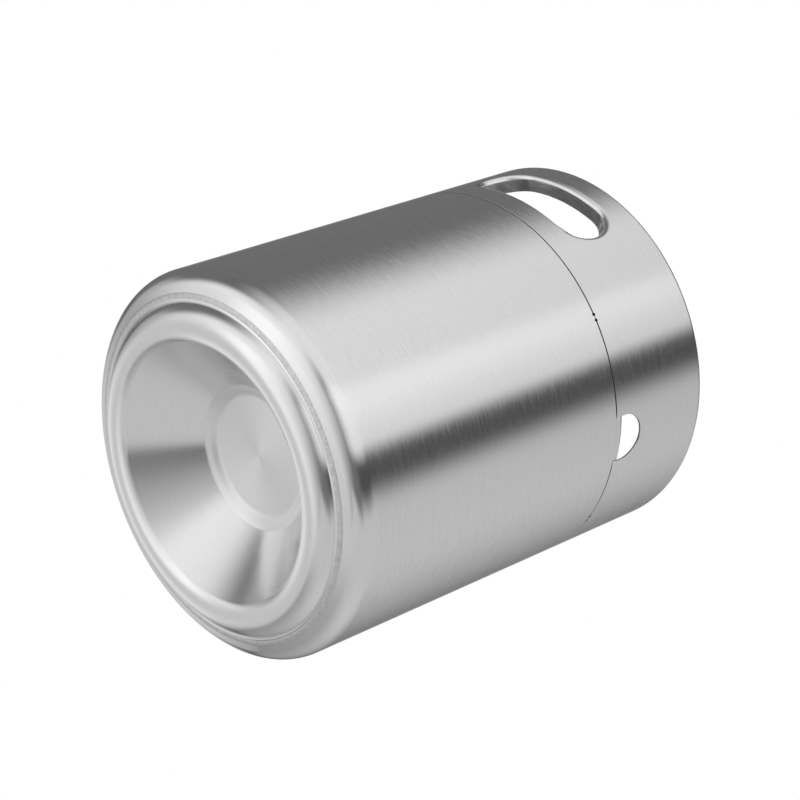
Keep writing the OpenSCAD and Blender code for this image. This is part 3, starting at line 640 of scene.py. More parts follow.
def base_line():
    """Lower face of the base: disc, soft ring, cone, lip, foot ring, flank and upturned edge."""
    s, v = sizes(), levels()
    foot_r = v["foot_r"] + s.shell_sheet / 2
    step = np.array([s.disc_step_r, s.disc_step_z])
    cone = np.array([s.cone_r, s.cone_z])
    lip = cone + (cone - step) * s.cone_z / (s.disc_step_z - s.cone_z)
    top = np.array([foot_r, s.foot_h])
    flank = top - (s.flank_w, s.flank_h)
    floor_r = (s.foot_low_r, 0)
    inside = rounded(
        [(0, s.disc_z), (s.disc_r, s.disc_z), (s.disc_ring_r, s.disc_ring_z), step, cone],
        [s.disc_fillet_r, s.disc_round_r, s.disc_round_r])
    return np.concatenate([
        inside,
        bow(cone, lip, floor_r)[1:],
        bow(floor_r, flank - (flank - top) * flank[1] / (flank[1] - top[1]), flank)[1:],
        [top, (foot_r - s.shell_sheet / 2, s.foot_h + s.shell_sheet), (v["foot_r"], s.dish_edge)],
    ])


def shell_line():
    """Outer face of the body: slant from the weld, shoulder, wall, joggle and neck."""
    s, v = sizes(), levels()
    shoulder = np.array([v["body_r"] - s.shoulder_r, s.shoulder_z])
    start = arc(shoulder, s.shoulder_r, -np.degrees(s.shoulder_turn), 0)
    slant = np.array([np.sin(s.shoulder_turn), np.cos(s.shoulder_turn)])
    neck_r = v["body_r"] - s.collar_sheet - s.sheet_gap
    step_z = v["seam_z"] + s.joggle_h
    foot = start[0] - slant * (start[0][0] - v["foot_r"] - s.shell_sheet) / slant[0]
    step = rounded(
        [start[-1], (v["body_r"], v["seam_z"]), (neck_r, step_z), (neck_r, v["shell_top_z"])],
        [s.joggle_r, s.joggle_r], 15)
    return np.concatenate([[foot], start[:-1], step])


def dome_line():
    """Outer face of the dome: skirt, knuckle, and crown that falls with the square of the radius."""
    s, v = sizes(), levels()
    dome_r = v["body_r"] - s.collar_sheet - s.shell_sheet - 2 * s.sheet_gap
    crown_r = dome_r - s.knuckle_r
    slope = np.arctan(2 * s.crown_rise / crown_r)
    hole_r = corner("neck_spout", 1, 0) - bpy.context.scene.keg_head.thread_depth + s.sheet_gap
    r = np.linspace(crown_r, hole_r, 25)[1:]
    crown_z = v["shell_top_z"] + s.knuckle_r * np.cos(slope) + s.crown_rise * (1 - (r / crown_r) ** 2)
    return np.concatenate([
        [[dome_r, corner("top_dome", 0, 2)]],
        arc((crown_r, v["shell_top_z"]), s.knuckle_r, 0, 90 - np.degrees(slope)),
        np.stack([r, crown_z], axis=1),
    ])


class KEG_OT_vessel(bpy.types.Operator):
    """Builds the base dish, the body shell and the dome"""

    bl_idname = "keg.vessel"
    bl_label = "Vessel"

    def execute(self, context):
        s = sizes()
        sections = {
            "base_dish": (sheet_section(base_line(), s.dish_sheet, open_start=True), False, "pressed_sheet"),
            "body_shell": (sheet_section(shell_line(), s.shell_sheet), True, "brushed_sheet"),
            # The dome's dark colour is painted shade for the inside of the collar.
            "top_dome": (sheet_section(dome_line(), s.dome_sheet), True, "dull_painted_shade_sheet"),
        }
        for name, (section, closed, finish) in sections.items():
            place(lathe(name + "_sheet", section, closed), "keg", "sheet_steel", material(finish), name)
        return {"FINISHED"}


# Collar


def rolled(s, z, depth, way):
    """Point of the collar from its flat layout: angle way + s / R, radius R less the depth, height z."""
    outer_r = levels()["body_r"]
    angle = way + s / outer_r
    r = outer_r - depth
    return np.stack([r * np.cos(angle), r * np.sin(angle), z + 0 * r], axis=-1)


def rolled_way(s, way, along, up, out):
    """Direction in space from its parts along the layout, upwards and outwards."""
    angle = way + s / levels()["body_r"]
    x = out * np.cos(angle) - along * np.sin(angle)
    y = out * np.sin(angle) + along * np.cos(angle)
    return np.stack([x, y, up + 0 * x], axis=-1)


def collar_faces(s, z, way, edges):
    """Outer and inner face of the collar over a grid of its flat layout.

    Every edge is (distance, direction away from it, reach). Nearer to the nearest one than its reach e, at
    distance d, the faces close on each other along half an ellipse: for half a sheet h the depth is
    h (1 - sqrt(1 - (1 - d / e)^2)). The map carries the layout on over the edges."""
    half = sizes().collar_sheet / 2
    far = np.stack([distance / reach + 0 * s for distance, along, up, reach in edges])
    nearest = far.argmin(axis=0)
    along, up, reach = (np.choose(nearest, [edge[k] + 0 * s for edge in edges]) for k in (1, 2, 3))
    lean = np.clip(1 - far.min(axis=0), 0, 1)
    rise = np.sqrt(1 - lean ** 2)
    depth = half * (1 - rise)
    brush = np.stack([z - up * depth, s - along * depth], axis=-1)
    steep = np.hypot(lean / reach, rise / half)
    lean, rise = lean / reach / steep, rise / half / steep
    outer = (rolled(s, z, depth, way), rolled_way(s, way, -along * lean, -up * lean, rise), brush, False)
    inner = (rolled(s, z, 2 * half - depth, way), rolled_way(s, way, -along * lean, -up * lean, -rise), brush)
    return outer, (*[part[::-1] for part in inner], False)


# Rows and columns of the collar's patches: up a patch's side, over and under its corners, along a hole's
# straight edge, from the frame to an opening, over a bend, round an edge and down its half round.
SIDE_ROWS, CORNER_COLUMNS, FLAT_COLUMNS, FRAME_ROWS = 15, 9, 25, 7
BEND_ROWS, ROUND_ROWS, EDGE_ROWS, LEG_ROWS, ARCH_COLUMNS = 9, 11, 6, 3, 7
PLAIN_COLUMN = 2 * MM
# Upward part of an outline's direction at which the grip begins, and the change over which it is full.
GRIP_FROM, GRIP_BLEND = -0.95, 0.5
MIRROR = (-1, 1)


def edge_steps():
    """Distances from a plain edge and from the rim at which their half rounds are cut into rows."""
    step = 1 - np.cos(np.radians(np.linspace(0, 90, EDGE_ROWS)))
    return sizes().edge_reach * step, sizes().rim_reach * step


def rim_edges(z):
    """The collar's upper and lower edge as seen from height z."""
    s = sizes()
    low, high = corner("carry_collar", 0, 2), corner("carry_collar", 1, 2)
    return [(high - z, 0, -1, s.rim_reach), (z - low, 0, 1, s.edge_reach)]


def framed(middle, ahead, at_frame, top, bottom, start):
    """Rows of a patch from its frame to an opening: insets along the rims, then even steps to its start.

    middle + start x ahead is the last row; at_frame holds each column's point on the frame."""
    z = at_frame[:, 1]
    inset = np.stack([
        np.stack([at_frame[:, 0], np.where(top, z - at_rim, np.where(bottom, z + plain, z))], 1)
        for plain, at_rim in zip(*edge_steps())])
    share = np.linspace(0, 1, FRAME_ROWS)[1:, None, None]
    last = middle + start * ahead
    return np.concatenate([inset, inset[-1] * (1 - share) + last * share])


def hole_patches(way, half_s):
    """Patch of the collar with a carry hole, its upper edge turned in over a bend, and its side's heights."""
    s = sizes()
    low, high = corner("carry_collar", 0, 2), corner("carry_collar", 1, 2)
    centre_z = high - s.hole_drop
    end_r = s.hole_h / 2
    straight = s.hole_w / 2 - end_r
    reach, rise, fall = half_s - straight, s.hole_drop, centre_z - low
    up, down = np.arctan2(rise, reach), -np.arctan2(fall, reach)
    side = np.linspace(down, up, SIDE_ROWS + 2)
    below = np.linspace(-np.pi / 2, down, CORNER_COLUMNS)
    above = np.linspace(up, np.pi / 2, CORNER_COLUMNS)
    right = np.concatenate([below[:-1], side, above[1:]])
    on_side = np.isin(right, side)
    ray = np.stack([np.cos(right), np.sin(right)], axis=1)
    to_rim = np.where(right > 0, rise, -fall) / np.where(ray[:, 1] == 0, 1, ray[:, 1])
    length = np.where(on_side, reach / np.cos(right), to_rim)
    right_frame = ray * length[:, None] + (straight, 0)
    flat_x = np.linspace(straight, -straight, FLAT_COLUMNS)[1:-1]
    flat = np.stack([flat_x, 0 * flat_x], axis=1)
    left_ray, left_frame = (ray * MIRROR)[::-1], (right_frame * MIRROR)[::-1]
    middle = np.concatenate([0 * ray + (straight, 0), flat, 0 * ray - (straight, 0), flat * MIRROR])
    ahead = np.concatenate([ray, 0 * flat + (0, 1), left_ray, 0 * flat - (0, 1)])
    frame_at = np.concatenate([right_frame, flat + (0, rise), left_frame, flat * MIRROR - (0, fall)])
    middle, frame_at = middle + (0, centre_z), frame_at + (0, centre_z)
    top = np.isclose(frame_at[:, 1], high)
    bottom = np.isclose(frame_at[:, 1], low)
    face = framed(middle, ahead, frame_at, top, bottom, end_r + s.grip_bend_r)
    outer, inner = collar_faces(face[..., 0], face[..., 1], way, rim_edges(face[..., 1]))
    edge = grip_edge(middle, ahead, end_r, way)
    heights = frame_at[:len(right)][on_side][1:-1, 1]
    return [(*outer, True), edge, (*inner, True)], heights


def grip_edge(middle, ahead, end_r, way):
    """Rows from the collar's outer face over the hole's edge to the inner face.

    Each row is a distance m from the hole's outline and a depth n. The plain edge is a half round. The grip
    is a quarter bend, a straight wall and a half round. A weight of the outline's direction mixes them."""
    s = sizes()
    bend, half, depth, reach = s.grip_bend_r, s.collar_sheet / 2, s.grip_depth, s.edge_reach
    sweep = np.radians(np.linspace(-90, -180, BEND_ROWS))
    sweep = np.stack([np.cos(sweep), np.sin(sweep)], 1)
    tip = np.radians(np.linspace(180, 0, ROUND_ROWS))
    grip = np.concatenate([
        bend + bend * sweep,
        np.array([half, depth - half]) + half * np.stack([np.cos(tip), np.sin(tip)], 1),
        bend + (bend - 2 * half) * sweep[::-1],
    ])
    flat = np.linspace(bend, reach, BEND_ROWS + 1)[:-1]
    plain = np.concatenate([
        np.stack([flat, 0 * flat], 1),
        (reach, half) + np.stack([reach * np.cos(tip + np.pi / 2), -half * np.sin(tip + np.pi / 2)], 1),
        np.stack([flat, 0 * flat + 2 * half], 1)[::-1],
    ])
    weight = np.clip((ahead[:, 1] - GRIP_FROM) / GRIP_BLEND, 0, 1)
    weight = weight * weight * (3 - 2 * weight)
    profile = plain[:, None] * (1 - weight[None, :, None]) + grip[:, None] * weight[None, :, None]
    flat_at = middle + (end_r + profile[..., :1]) * ahead
    grid = rolled(flat_at[..., 0], flat_at[..., 1], profile[..., 1], way)
    along_row = np.gradient(grid, axis=0)
    along_column = np.roll(grid, -1, axis=1) - np.roll(grid, 1, axis=1)
    normal = np.cross(along_column, along_row)
    normal /= np.linalg.norm(normal, axis=-1)[..., None]
    ends = rolled_way(flat_at[..., 0], way, 0, 0, 1.0)
    normal[0], normal[-1] = ends[0], -ends[-1]
    path = np.linalg.norm(np.diff(profile, axis=0), axis=-1).cumsum(axis=0)
    path = np.concatenate([0 * path[:1], path])
    brush = (flat_at[0] - ahead * path[..., None])[..., ::-1]
    return grid, normal, brush, False, True


def notch_patches(way, half_s):
    """Patch of the collar with a drain notch cut up from its lower edge, and its side's heights."""
    s = sizes()
    low, high = corner("carry_collar", 0, 2), corner("carry_collar", 1, 2)
    half_w = s.notch_w / 2
    arch_z = low - s.seam_gap + s.notch_h - half_w
    step = edge_steps()[0]
    leg_z = np.concatenate([low + step, np.linspace(low + step[-1], arch_z, LEG_ROWS + 1)[1:]])
    up = np.arctan2(high - arch_z, half_s)
    side = np.linspace(0, up, SIDE_ROWS - LEG_ROWS + 2)[1:]
    turn_at = np.concatenate([side, np.linspace(up, np.pi / 2, ARCH_COLUMNS)[1:]])
    ray = np.stack([np.cos(turn_at), np.sin(turn_at)], axis=1)
    on_side = turn_at <= up
    reach = np.where(on_side, half_s / np.where(on_side, ray[:, 0], 1), (high - arch_z) / ray[:, 1])
    middle = np.concatenate([np.stack([0 * leg_z, leg_z], 1), 0 * ray + (0, arch_z)])
    ahead = np.concatenate([np.stack([0 * leg_z + 1, 0 * leg_z], 1), ray])
    frame_at = middle + ahead * np.concatenate([0 * leg_z + half_s, reach])[:, None]
    heights = frame_at[len(step):len(leg_z) + len(side) - 1, 1]
    middle, ahead, frame_at = (
        np.concatenate([half, (half * MIRROR)[:-1][::-1]]) for half in (middle, ahead, frame_at))
    top = np.isclose(frame_at[:, 1], high)
    face = framed(middle, ahead, frame_at, top, False, half_w + step[-1])
    edge = middle + (half_w + step[::-1][1:, None, None]) * ahead
    grid = np.concatenate([face, edge])
    outline = np.maximum(grid[..., 1] - arch_z, 0)
    from_axis = np.hypot(grid[..., 0], outline)
    notch_edge = (from_axis - half_w, grid[..., 0] / from_axis, outline / from_axis, s.edge_reach)
    edges = [*rim_edges(grid[..., 1]), notch_edge]
    outer, inner = collar_faces(grid[..., 0], grid[..., 1], way, edges)
    return [(*outer, False), (*inner, False)], heights


def plain_patch(start, end, left, right):
    """Patch of the collar without an opening, between the heights of its neighbours' sides."""
    low, high = corner("carry_collar", 0, 2), corner("carry_collar", 1, 2)
    step, rim_step = edge_steps()
    outer_r = levels()["body_r"]
    left, right = (np.concatenate([low + step, side, (high - rim_step)[::-1]]) for side in (left, right))
    share = np.linspace(0, 1, max(2, int((end - start) * outer_r / PLAIN_COLUMN)))
    z = left[:, None] * (1 - share) + right[:, None] * share
    s = np.broadcast_to(share * (end - start) * outer_r, z.shape)
    outer, inner = collar_faces(s, z, start, rim_edges(z))
    return [(*outer, False), (*inner, False)]


class KEG_OT_collar(bpy.types.Operator):
    """Builds the collar with its carry holes, grips and drain notches"""

    bl_idname = "keg.collar"
    bl_label = "Collar"

    hole_half: turn("Hole patch", "Half of the angle of a hole's patch", 32)
    notch_half: turn("Notch patch", "Half of the angle of a notch's patch", 13)

    def execute(self, context):
        s = sizes()
        outer_r = levels()["body_r"]
        openings = ((hole_patches, 0.0, self.hole_half), (notch_patches, s.notch_turn, self.notch_half))
        grids, sides = [], []
        for half_turn in (0.0, np.pi):
            for patches, first_way, half in openings:
                patch, heights = patches(first_way + half_turn, half * outer_r)
                grids += patch
                sides.append((first_way + half_turn, half, heights))
        for k, (way, half, heights) in enumerate(sides):
            next_way, next_half, next_heights = sides[(k + 1) % len(sides)]
            next_way += 2 * np.pi * (next_way < way)
            grids += plain_patch(way + half, next_way - next_half, heights, next_heights)
        collar = surface("carry_collar_sheet", grids)
        place(collar, "keg", "sheet_steel", material("brushed_sheet"), "carry_collar")
        return {"FINISHED"}


# Welds, spout, ring and fittings


# Points round a bead's section and round a tack, from a tack's foot to its top, round the section of the
# painted shade in the seam and round the base weld's, columns for each flute of the ring, round a post and
# round the pull ring, and points round the section of a nose seal and of the pull ring.
BEAD_SIDES, TACK_SIDES, TACK_ROWS, SEAM_SHADE_SIDES, STRIP_SIDES = 24, 24, 13, 12, 28
FLUTE_COLUMNS, POST_COLUMNS, PULL_COLUMNS, THIN_SIDES = 40, 144, 120, 20


def closed_round(corners, radii, step=15):
    """Closed outline that turns on an arc at every corner."""
    corners = np.asarray(corners, float)
    return rounded(np.concatenate([corners[-1:], corners, corners[:1]]), radii, step)[1:-1]


def bent_grid(grid, brush, closed=True):
    """Grid with normals from the chords between its neighbours; its columns close."""
    column = np.roll(grid, -1, axis=1) - np.roll(grid, 1, axis=1)
    ahead, behind = np.roll(grid, -1, axis=0), np.roll(grid, 1, axis=0)
    if not closed:
        ahead[-1], behind[0] = grid[-1], grid[0]
    normal = np.cross(column, ahead - behind)
    size_of = np.linalg.norm(normal, axis=-1)[..., None]
    return grid, normal / np.where(size_of == 0, 1, size_of), brush, closed, True


def round_bead(name, place_r, z, r, sides=BEAD_SIDES, **turned):
    """Ring with a round section: a torus whose section is a circle of radius r about (place_r, z)."""
    angle = np.arange(sides) * 2 * np.pi / sides
    section = np.stack([place_r + r * np.cos(angle), z + r * np.sin(angle)], axis=1)
    return lathe(name, section, **turned)


def reshaped(section, radius, around=AROUND):
    """Grid of a turned section, each of its points moved to another radius, and its map."""
    grid, _, brush = turned_grid(section, True, around=around)[:3]
    grid[..., :2] *= (radius / section[:, :1])[..., None]
    return grid, brush


class KEG_OT_welds(bpy.types.Operator):
    """Builds the weld beads and the tacks on the seam"""

    bl_idname = "keg.welds"
    bl_label = "Welds"

    strip_w: size("Strip width", "Width of the weld over the base's joint", 4.6)
    strip_h: size("Strip height", "Thickness of that weld", 1.1)
    proud: size("Proud", "Height of that weld over the sheet", 0.14)
    bead_l: size("Tack bead", "Half length of a tack's bead along the seam", 1.1)
    bead_h: size("Tack bead height", "Half height of a tack's bead", 0.9)
    bead_d: size("Tack bead depth", "Half depth of a tack's bead", 0.5)
    bead_proud: size("Tack bead rise", "Rise of a tack's bead over the sheet", 0.07)
    pit_gap: size("Pits", "Distance of the burnt pits from a tack's middle", 1.55)
    pit_l: size("Pit length", "Half length of a burnt pit along the seam", 0.9)
    pit_h: size("Pit height", "Half height of a burnt pit", 1.15)
    pit_d: size("Pit depth", "Half depth of a burnt pit", 0.06)
    pit_proud: size("Pit rise", "Rise of a burnt pit over the sheet", 0.03)
    # The next five sizes shape the seam's painted shade: a dark ring set in the gap, standing for the shadow
    # there.
    seam_shade_w: size("Oxide", "Thickness of the dark oxide in the seam", 0.7)
    seam_shade_h: level("Oxide height", "Half height of the oxide as a share of the seam's gap", 0.7)
    seam_shade_deep: size("Oxide depth", "Depth of the oxide under the sheet's face", 0.03)
    seam_shade_end: size("Oxide end", "Distance of the oxide's ends from a notch", 0.6)
    squareness: level("Oxide corners", "Power of the oxide's section, below 1 for square corners", 0.4)

    def execute(self, context):
        s = sizes()
        metal = material("weld_metal")
        place(self.base_strip(), "keg", "weld_bead", metal, "base_weld")
        for name in ("dome_weld", "neck_weld"):
            r = (corner(name, 1, 2) - corner(name, 0, 2)) / 2
            bead = round_bead(name + "_bead", corner(name, 1, 0) - r, corner(name, 0, 2) + r, r)
            place(bead, "keg", "weld_bead", metal, name)
        pit_turn = self.pit_gap / levels()["body_r"]
        ways = s.tack_turn + np.arange(s.tack_count) * s.tack_pitch
        beads = [self.ball(way, self.bead_l, self.bead_h, self.bead_d, self.bead_proud) for way in ways]
        place(surface("collar_tack_beads", beads), "keg", "weld_bead", metal, "collar_tacks")
        # Dark finish for the tacks' burnt pits and for the painted shade in the seam.
        burnt = material("burn_and_painted_shade")
        ways = np.concatenate([ways - pit_turn, ways + pit_turn])
        pits = [self.ball(way, self.pit_l, self.pit_h, self.pit_d, self.pit_proud) for way in ways]
        place(surface("collar_tack_pits", pits), "keg", "weld_bead", burnt)
        # Painted shade: a dark ring in the seam's gap stands for the shadow there.
        place(surface("seam_oxide", self.painted_seam_shade(), keep_normals=False), "keg", "weld_bead", burnt)
        return {"FINISHED"}

    def ball(self, way, half_l, half_h, half_d, proud):
        """Ellipsoid on the seam: cos u cos a, cos u sin a and sin u times its half sizes, turned its way."""
        s, v = sizes(), levels()
        around = np.arange(TACK_SIDES) * 2 * np.pi / TACK_SIDES
        up = np.radians(np.linspace(-90, 90, TACK_ROWS))[:, None]
        out = v["body_r"] + proud - half_d + half_d * np.cos(up) * np.cos(around)
        along = half_l * np.cos(up) * np.sin(around)
        z = v["seam_z"] + s.seam_gap / 2 + half_h * np.sin(up) + 0 * around
        x, y = np.cos(way), np.sin(way)
        return bent_grid(np.dstack([out * x - along * y, out * y + along * x, z]), np.sin(up) * MM, False)

    def painted_seam_shade(self):
        """Painted shade in the seam between the notches: a small ellipse carried round, a point at its ends.

        Its cosine and sine are raised to a power with their signs kept, which squares its corners."""
        s, v = sizes(), levels()
        half = self.seam_shade_w / 2
        section = np.arange(SEAM_SHADE_SIDES)[:, None] * 2 * np.pi / SEAM_SHADE_SIDES
        across, along = (
            np.sign(part) * np.abs(part) ** self.squareness for part in (np.cos(section), np.sin(section)))
        away = (s.notch_w / 2 + self.seam_shade_end) / v["body_r"]
        swell = np.ones(AROUND // 2)
        swell[[0, -1]] = 0
        r = v["body_r"] - self.seam_shade_deep - half + half * across * swell
        z = v["seam_z"] + s.seam_gap / 2 + s.seam_gap * self.seam_shade_h * along * swell
        grids = []
        for notch in (s.notch_turn, s.notch_turn + np.pi):
            angle = np.linspace(notch + away, notch + np.pi - away, len(swell))
            grid = np.dstack([r * np.cos(angle), r * np.sin(angle), z])
            grids.append((grid, None, section * half, True, False))
        return grids

    def base_strip(self):
        """Flat weld where the shoulder meets the foot ring: a ring whose section is a leaning ellipse."""
        foot = shell_line()[0]
        slope = np.pi / 2 - sizes().shoulder_turn
        ahead = np.array([np.cos(slope), np.sin(slope)])
        out = np.array([ahead[1], -ahead[0]])
        centre = foot + ahead * self.strip_w / 2 - out * (self.strip_h / 2 - self.proud)
        angle = np.arange(STRIP_SIDES)[:, None] * 2 * np.pi / STRIP_SIDES
        section = centre + self.strip_w / 2 * np.cos(angle) * ahead - self.strip_h / 2 * np.sin(angle) * out
        return lathe("base_weld_strip", section)


class KEG_OT_spout(bpy.types.Operator):
    """Builds the threaded spout and the fluted ring that screws onto it"""

    bl_idname = "keg.spout"
    bl_label = "Spout and ring"

    edge_r: size("Edge round", "Radius of the small edges", 0.3)
    rows: size("Thread rows", "Distance between the thread's rows", 0.25)
    lip_edge: size("Lip edges", "Radius of the edges at the ring's foot and round its mouth", 0.7)
    bore_edge: size("Bore edge", "Radius of the edge at the foot of the ring's bore", 0.5)
    flute_edge: size("Flute edge", "Reach of the soft edge of a flute", 0.12)
    bore_wall: size("Bore wall", "Wall round the bore that the flutes leave whole", 1)
    thread_lead: level("Thread lead", "Turns of the thread that are missing under the mouth", 0.6)

    def execute(self, context):
        steel = material("turned_steel")
        place(self.spout(), "keg", "machined_steel", steel, "neck_spout")
        place(self.ring(), "screw_ring", "machined_steel", steel, "screw_ring")
        return {"FINISHED"}

    def spout(self):
        """Spout with a thread: the radius grows by a trapezoid of z / pitch - angle / full turn.

        The ridge grows over one turn from the thread's foot and fades over one under the mouth."""
        h = bpy.context.scene.keg_head
        low, high = corner("neck_spout", 0, 2), corner("neck_spout", 1, 2)
        bore_r = corner("neck_spout", 1, 0) - h.thread_depth - h.spout_wall
        outer_r = bore_r + h.spout_wall
        ends = [(outer_r, low), (outer_r, high), (bore_r, high), (bore_r, low)]
        ends = closed_round(ends, [self.edge_r] * 4)
        start = len(ends) // 4
        wall_z = np.arange(low + 2 * self.edge_r, high - 2 * self.edge_r, self.rows)
        wall = np.stack([0 * wall_z + outer_r, wall_z], axis=1)
        section = np.concatenate([ends[:start], wall, ends[start:]])
        z, on_wall = section[:, 1:], section[:, :1] > outer_r - SAME_PLACE
        off_ridge = np.abs((z / h.thread_pitch - np.arange(AROUND) / AROUND) % 1 - 0.5) * h.thread_pitch
        ridge = np.clip(2 - off_ridge / (h.thread_pitch / 6), 0, 1) * on_wall
        from_foot = np.clip((z - high + h.thread_l) / h.thread_pitch, 0, 1)
        from_mouth = np.clip((high - z) / h.thread_pitch - self.thread_lead, 0, 1)
        radius = section[:, :1] + h.thread_depth * ridge * from_foot * from_mouth
        return surface("neck_spout_thread", [bent_grid(*reshaped(section, radius))])

    def ring(self):
        """Ring whose skirt gives way to round flutes: the radius is cut back to that of each flute's circle.

        The cut c is softened at a flute's edges to (c + sqrt(c^2 + e^2) - e) / 2 for a small reach e."""
        h = bpy.context.scene.keg_head
        low, high = corner("screw_ring", 0, 2), corner("screw_ring", 1, 2)
        outer_r = corner("screw_ring", 1, 0)
        bore_r = outer_r - h.ring_wall
        mouth_r, deck = bore_r - h.ring_lip_w, high - h.ring_lip_h
        section = closed_round(
            [(outer_r, low), (outer_r, high), (mouth_r, high),
             (mouth_r, deck), (bore_r, deck), (bore_r, low)],
            [self.lip_edge, h.ring_round, self.lip_edge, self.edge_r, self.edge_r, self.bore_edge])
        around = FLUTE_COLUMNS * h.flutes
        flute = 2 * np.pi / h.flutes
        angle = (np.arange(around) * 2 * np.pi / around) % flute - flute / 2
        centre_r = outer_r + h.flute_r - h.flute_depth
        inside = np.clip(h.flute_r ** 2 - (centre_r * np.sin(angle)) ** 2, 0, None)
        cut = outer_r - (centre_r * np.cos(angle) - np.sqrt(inside))
        soft = self.flute_edge
        cut = (cut + np.sqrt(cut ** 2 + soft ** 2) - soft) / 2
        cut = np.clip(np.where(inside > 0, cut, 0), 0, None)
        wall = section[:, :1] - bore_r - self.bore_wall
        share = np.clip(wall / (h.ring_wall - h.ring_round - self.bore_wall), 0, 1)
        grid, brush = reshaped(section, section[:, :1] - cut * share, around)
        return surface("screw_ring_body", [bent_grid(grid, brush)])


class KEG_OT_posts(bpy.types.Operator):
    """Builds the two posts, their nose seals and their poppets"""

    bl_idname = "keg.posts"
    bl_label = "Posts"

    edge_r: size("Edge round", "Radius of a poppet's small edges", 0.25)
    tip_edge: size("Tip round", "Radius of the edge of a poppet's tip", 0.6)
    post_r: size("Post rounds", "Radius of a post's edges", 0.12)
    hex_edge: size("Hexagon edge", "Depth to which the hexagon's chamfer cuts into its flats", 0.4)

    def execute(self, context):
        steel = material("turned_steel")
        for line in ("gas", "beer"):
            place(self.post(line), "head", "machined_steel", steel, line + "_post")
            place(self.seal(line), "head", "seal_rubber", material("seal_rubber"), line + "_post_seal")
            place(self.poppet(line), line + "_poppet", "machined_steel", steel, line + "_poppet")
        return {"FINISHED"}

    def post(self, line):
        """Post whose radius is the lesser of a limit that changes with height and of its hexagon's."""
        h = bpy.context.scene.keg_head
        name = line + "_post"
        low, high = corner(name, 0, 2), corner(name, 1, 2)
        wide = h.hex_w / 2 / np.cos(np.pi / 6)
        chamfer = wide - h.hex_w / 2 + self.hex_edge
        hex_top = low + h.hex_h
        cut_low, cut_high = (low + h.hex_h / 2 + side * h.mark_h / 2 for side in (-1, 1))
        cut_r = wide - h.mark_depth
        mark = [(wide, cut_low), (cut_r, cut_low), (cut_r, cut_high), (wide, cut_high)]
        groove_low, groove_high = (low + h.groove_z + side * h.groove_h / 2 for side in (-1, 1))
        groove_r = h.barrel_r - h.groove_depth
        ridge, ridge_top = low + h.ridge_z, low + h.ridge_z + h.ridge_h
        line_of = [
            (h.nipple_r, low), (wide - chamfer, low), (wide, low + chamfer / 2),
            *(mark if line == "gas" else []),
            (wide, hex_top - chamfer / 2), (wide - chamfer, hex_top), (h.barrel_r, hex_top),
            (h.barrel_r, ridge), (h.ridge_r, ridge + h.ridge_edge), (h.ridge_r, ridge_top - h.ridge_edge),
            (h.barrel_r, ridge_top), (h.barrel_r, groove_low), (groove_r, groove_low),
            (groove_r, groove_high), (h.barrel_r, groove_high), (h.barrel_r, high - h.post_edge),
            (h.barrel_r - h.post_edge, high),
            (h.mouth_r, high), (h.mouth_r, high - h.seat_h), (h.chamber_r, high - h.seat_h),
            (h.chamber_r, low + h.chamber_z), (h.nipple_r, low + h.chamber_z),
        ]
        section = closed_round(line_of, [self.post_r] * len(line_of), 30)
        angle = (np.arange(POST_COLUMNS) * 360 / POST_COLUMNS) % 60 - 30
        hexagon = h.hex_w / 2 / np.cos(np.radians(angle))
        grid, brush = reshaped(section, np.minimum(section[:, :1], hexagon), POST_COLUMNS)
        grid[..., :2] += middle_of(name)
        return surface(name + "_body", [(grid, None, brush, True, True)], keep_normals=False, sharp=28)

    def seal(self, line):
        """Nose seal: a torus that sits in the groove of its post."""
        h = bpy.context.scene.keg_head
        name, seal_r = line + "_post", h.seal_d / 2
        place_r, z = h.barrel_r - h.groove_depth + seal_r, corner(name, 0, 2) + h.groove_z
        return round_bead(
            name + "_ring", place_r, z, seal_r, THIN_SIDES, centre=middle_of(name), around=SMALL_AROUND)

    def poppet(self, line):
        """Poppet: pilot, disc and tip, carried round the axis of its post."""
        h = bpy.context.scene.keg_head
        name = line + "_poppet"
        high, r = corner(name, 1, 2), (corner(name, 1, 0) - corner(name, 0, 0)) / 2
        disc_top = high - h.disc_top
        disc_low = disc_top - h.disc_h
        foot = disc_low - h.pilot_h
        section = rounded(
            [(0, foot), (h.pilot_r, foot), (h.pilot_r, disc_low), (r, disc_low), (r, disc_top),
             (h.tip_r, disc_top), (h.tip_r, high), (0, high)], [self.edge_r] * 5 + [self.tip_edge], 15)
        return lathe(name + "_body", section, False, middle_of(name), SMALL_AROUND)


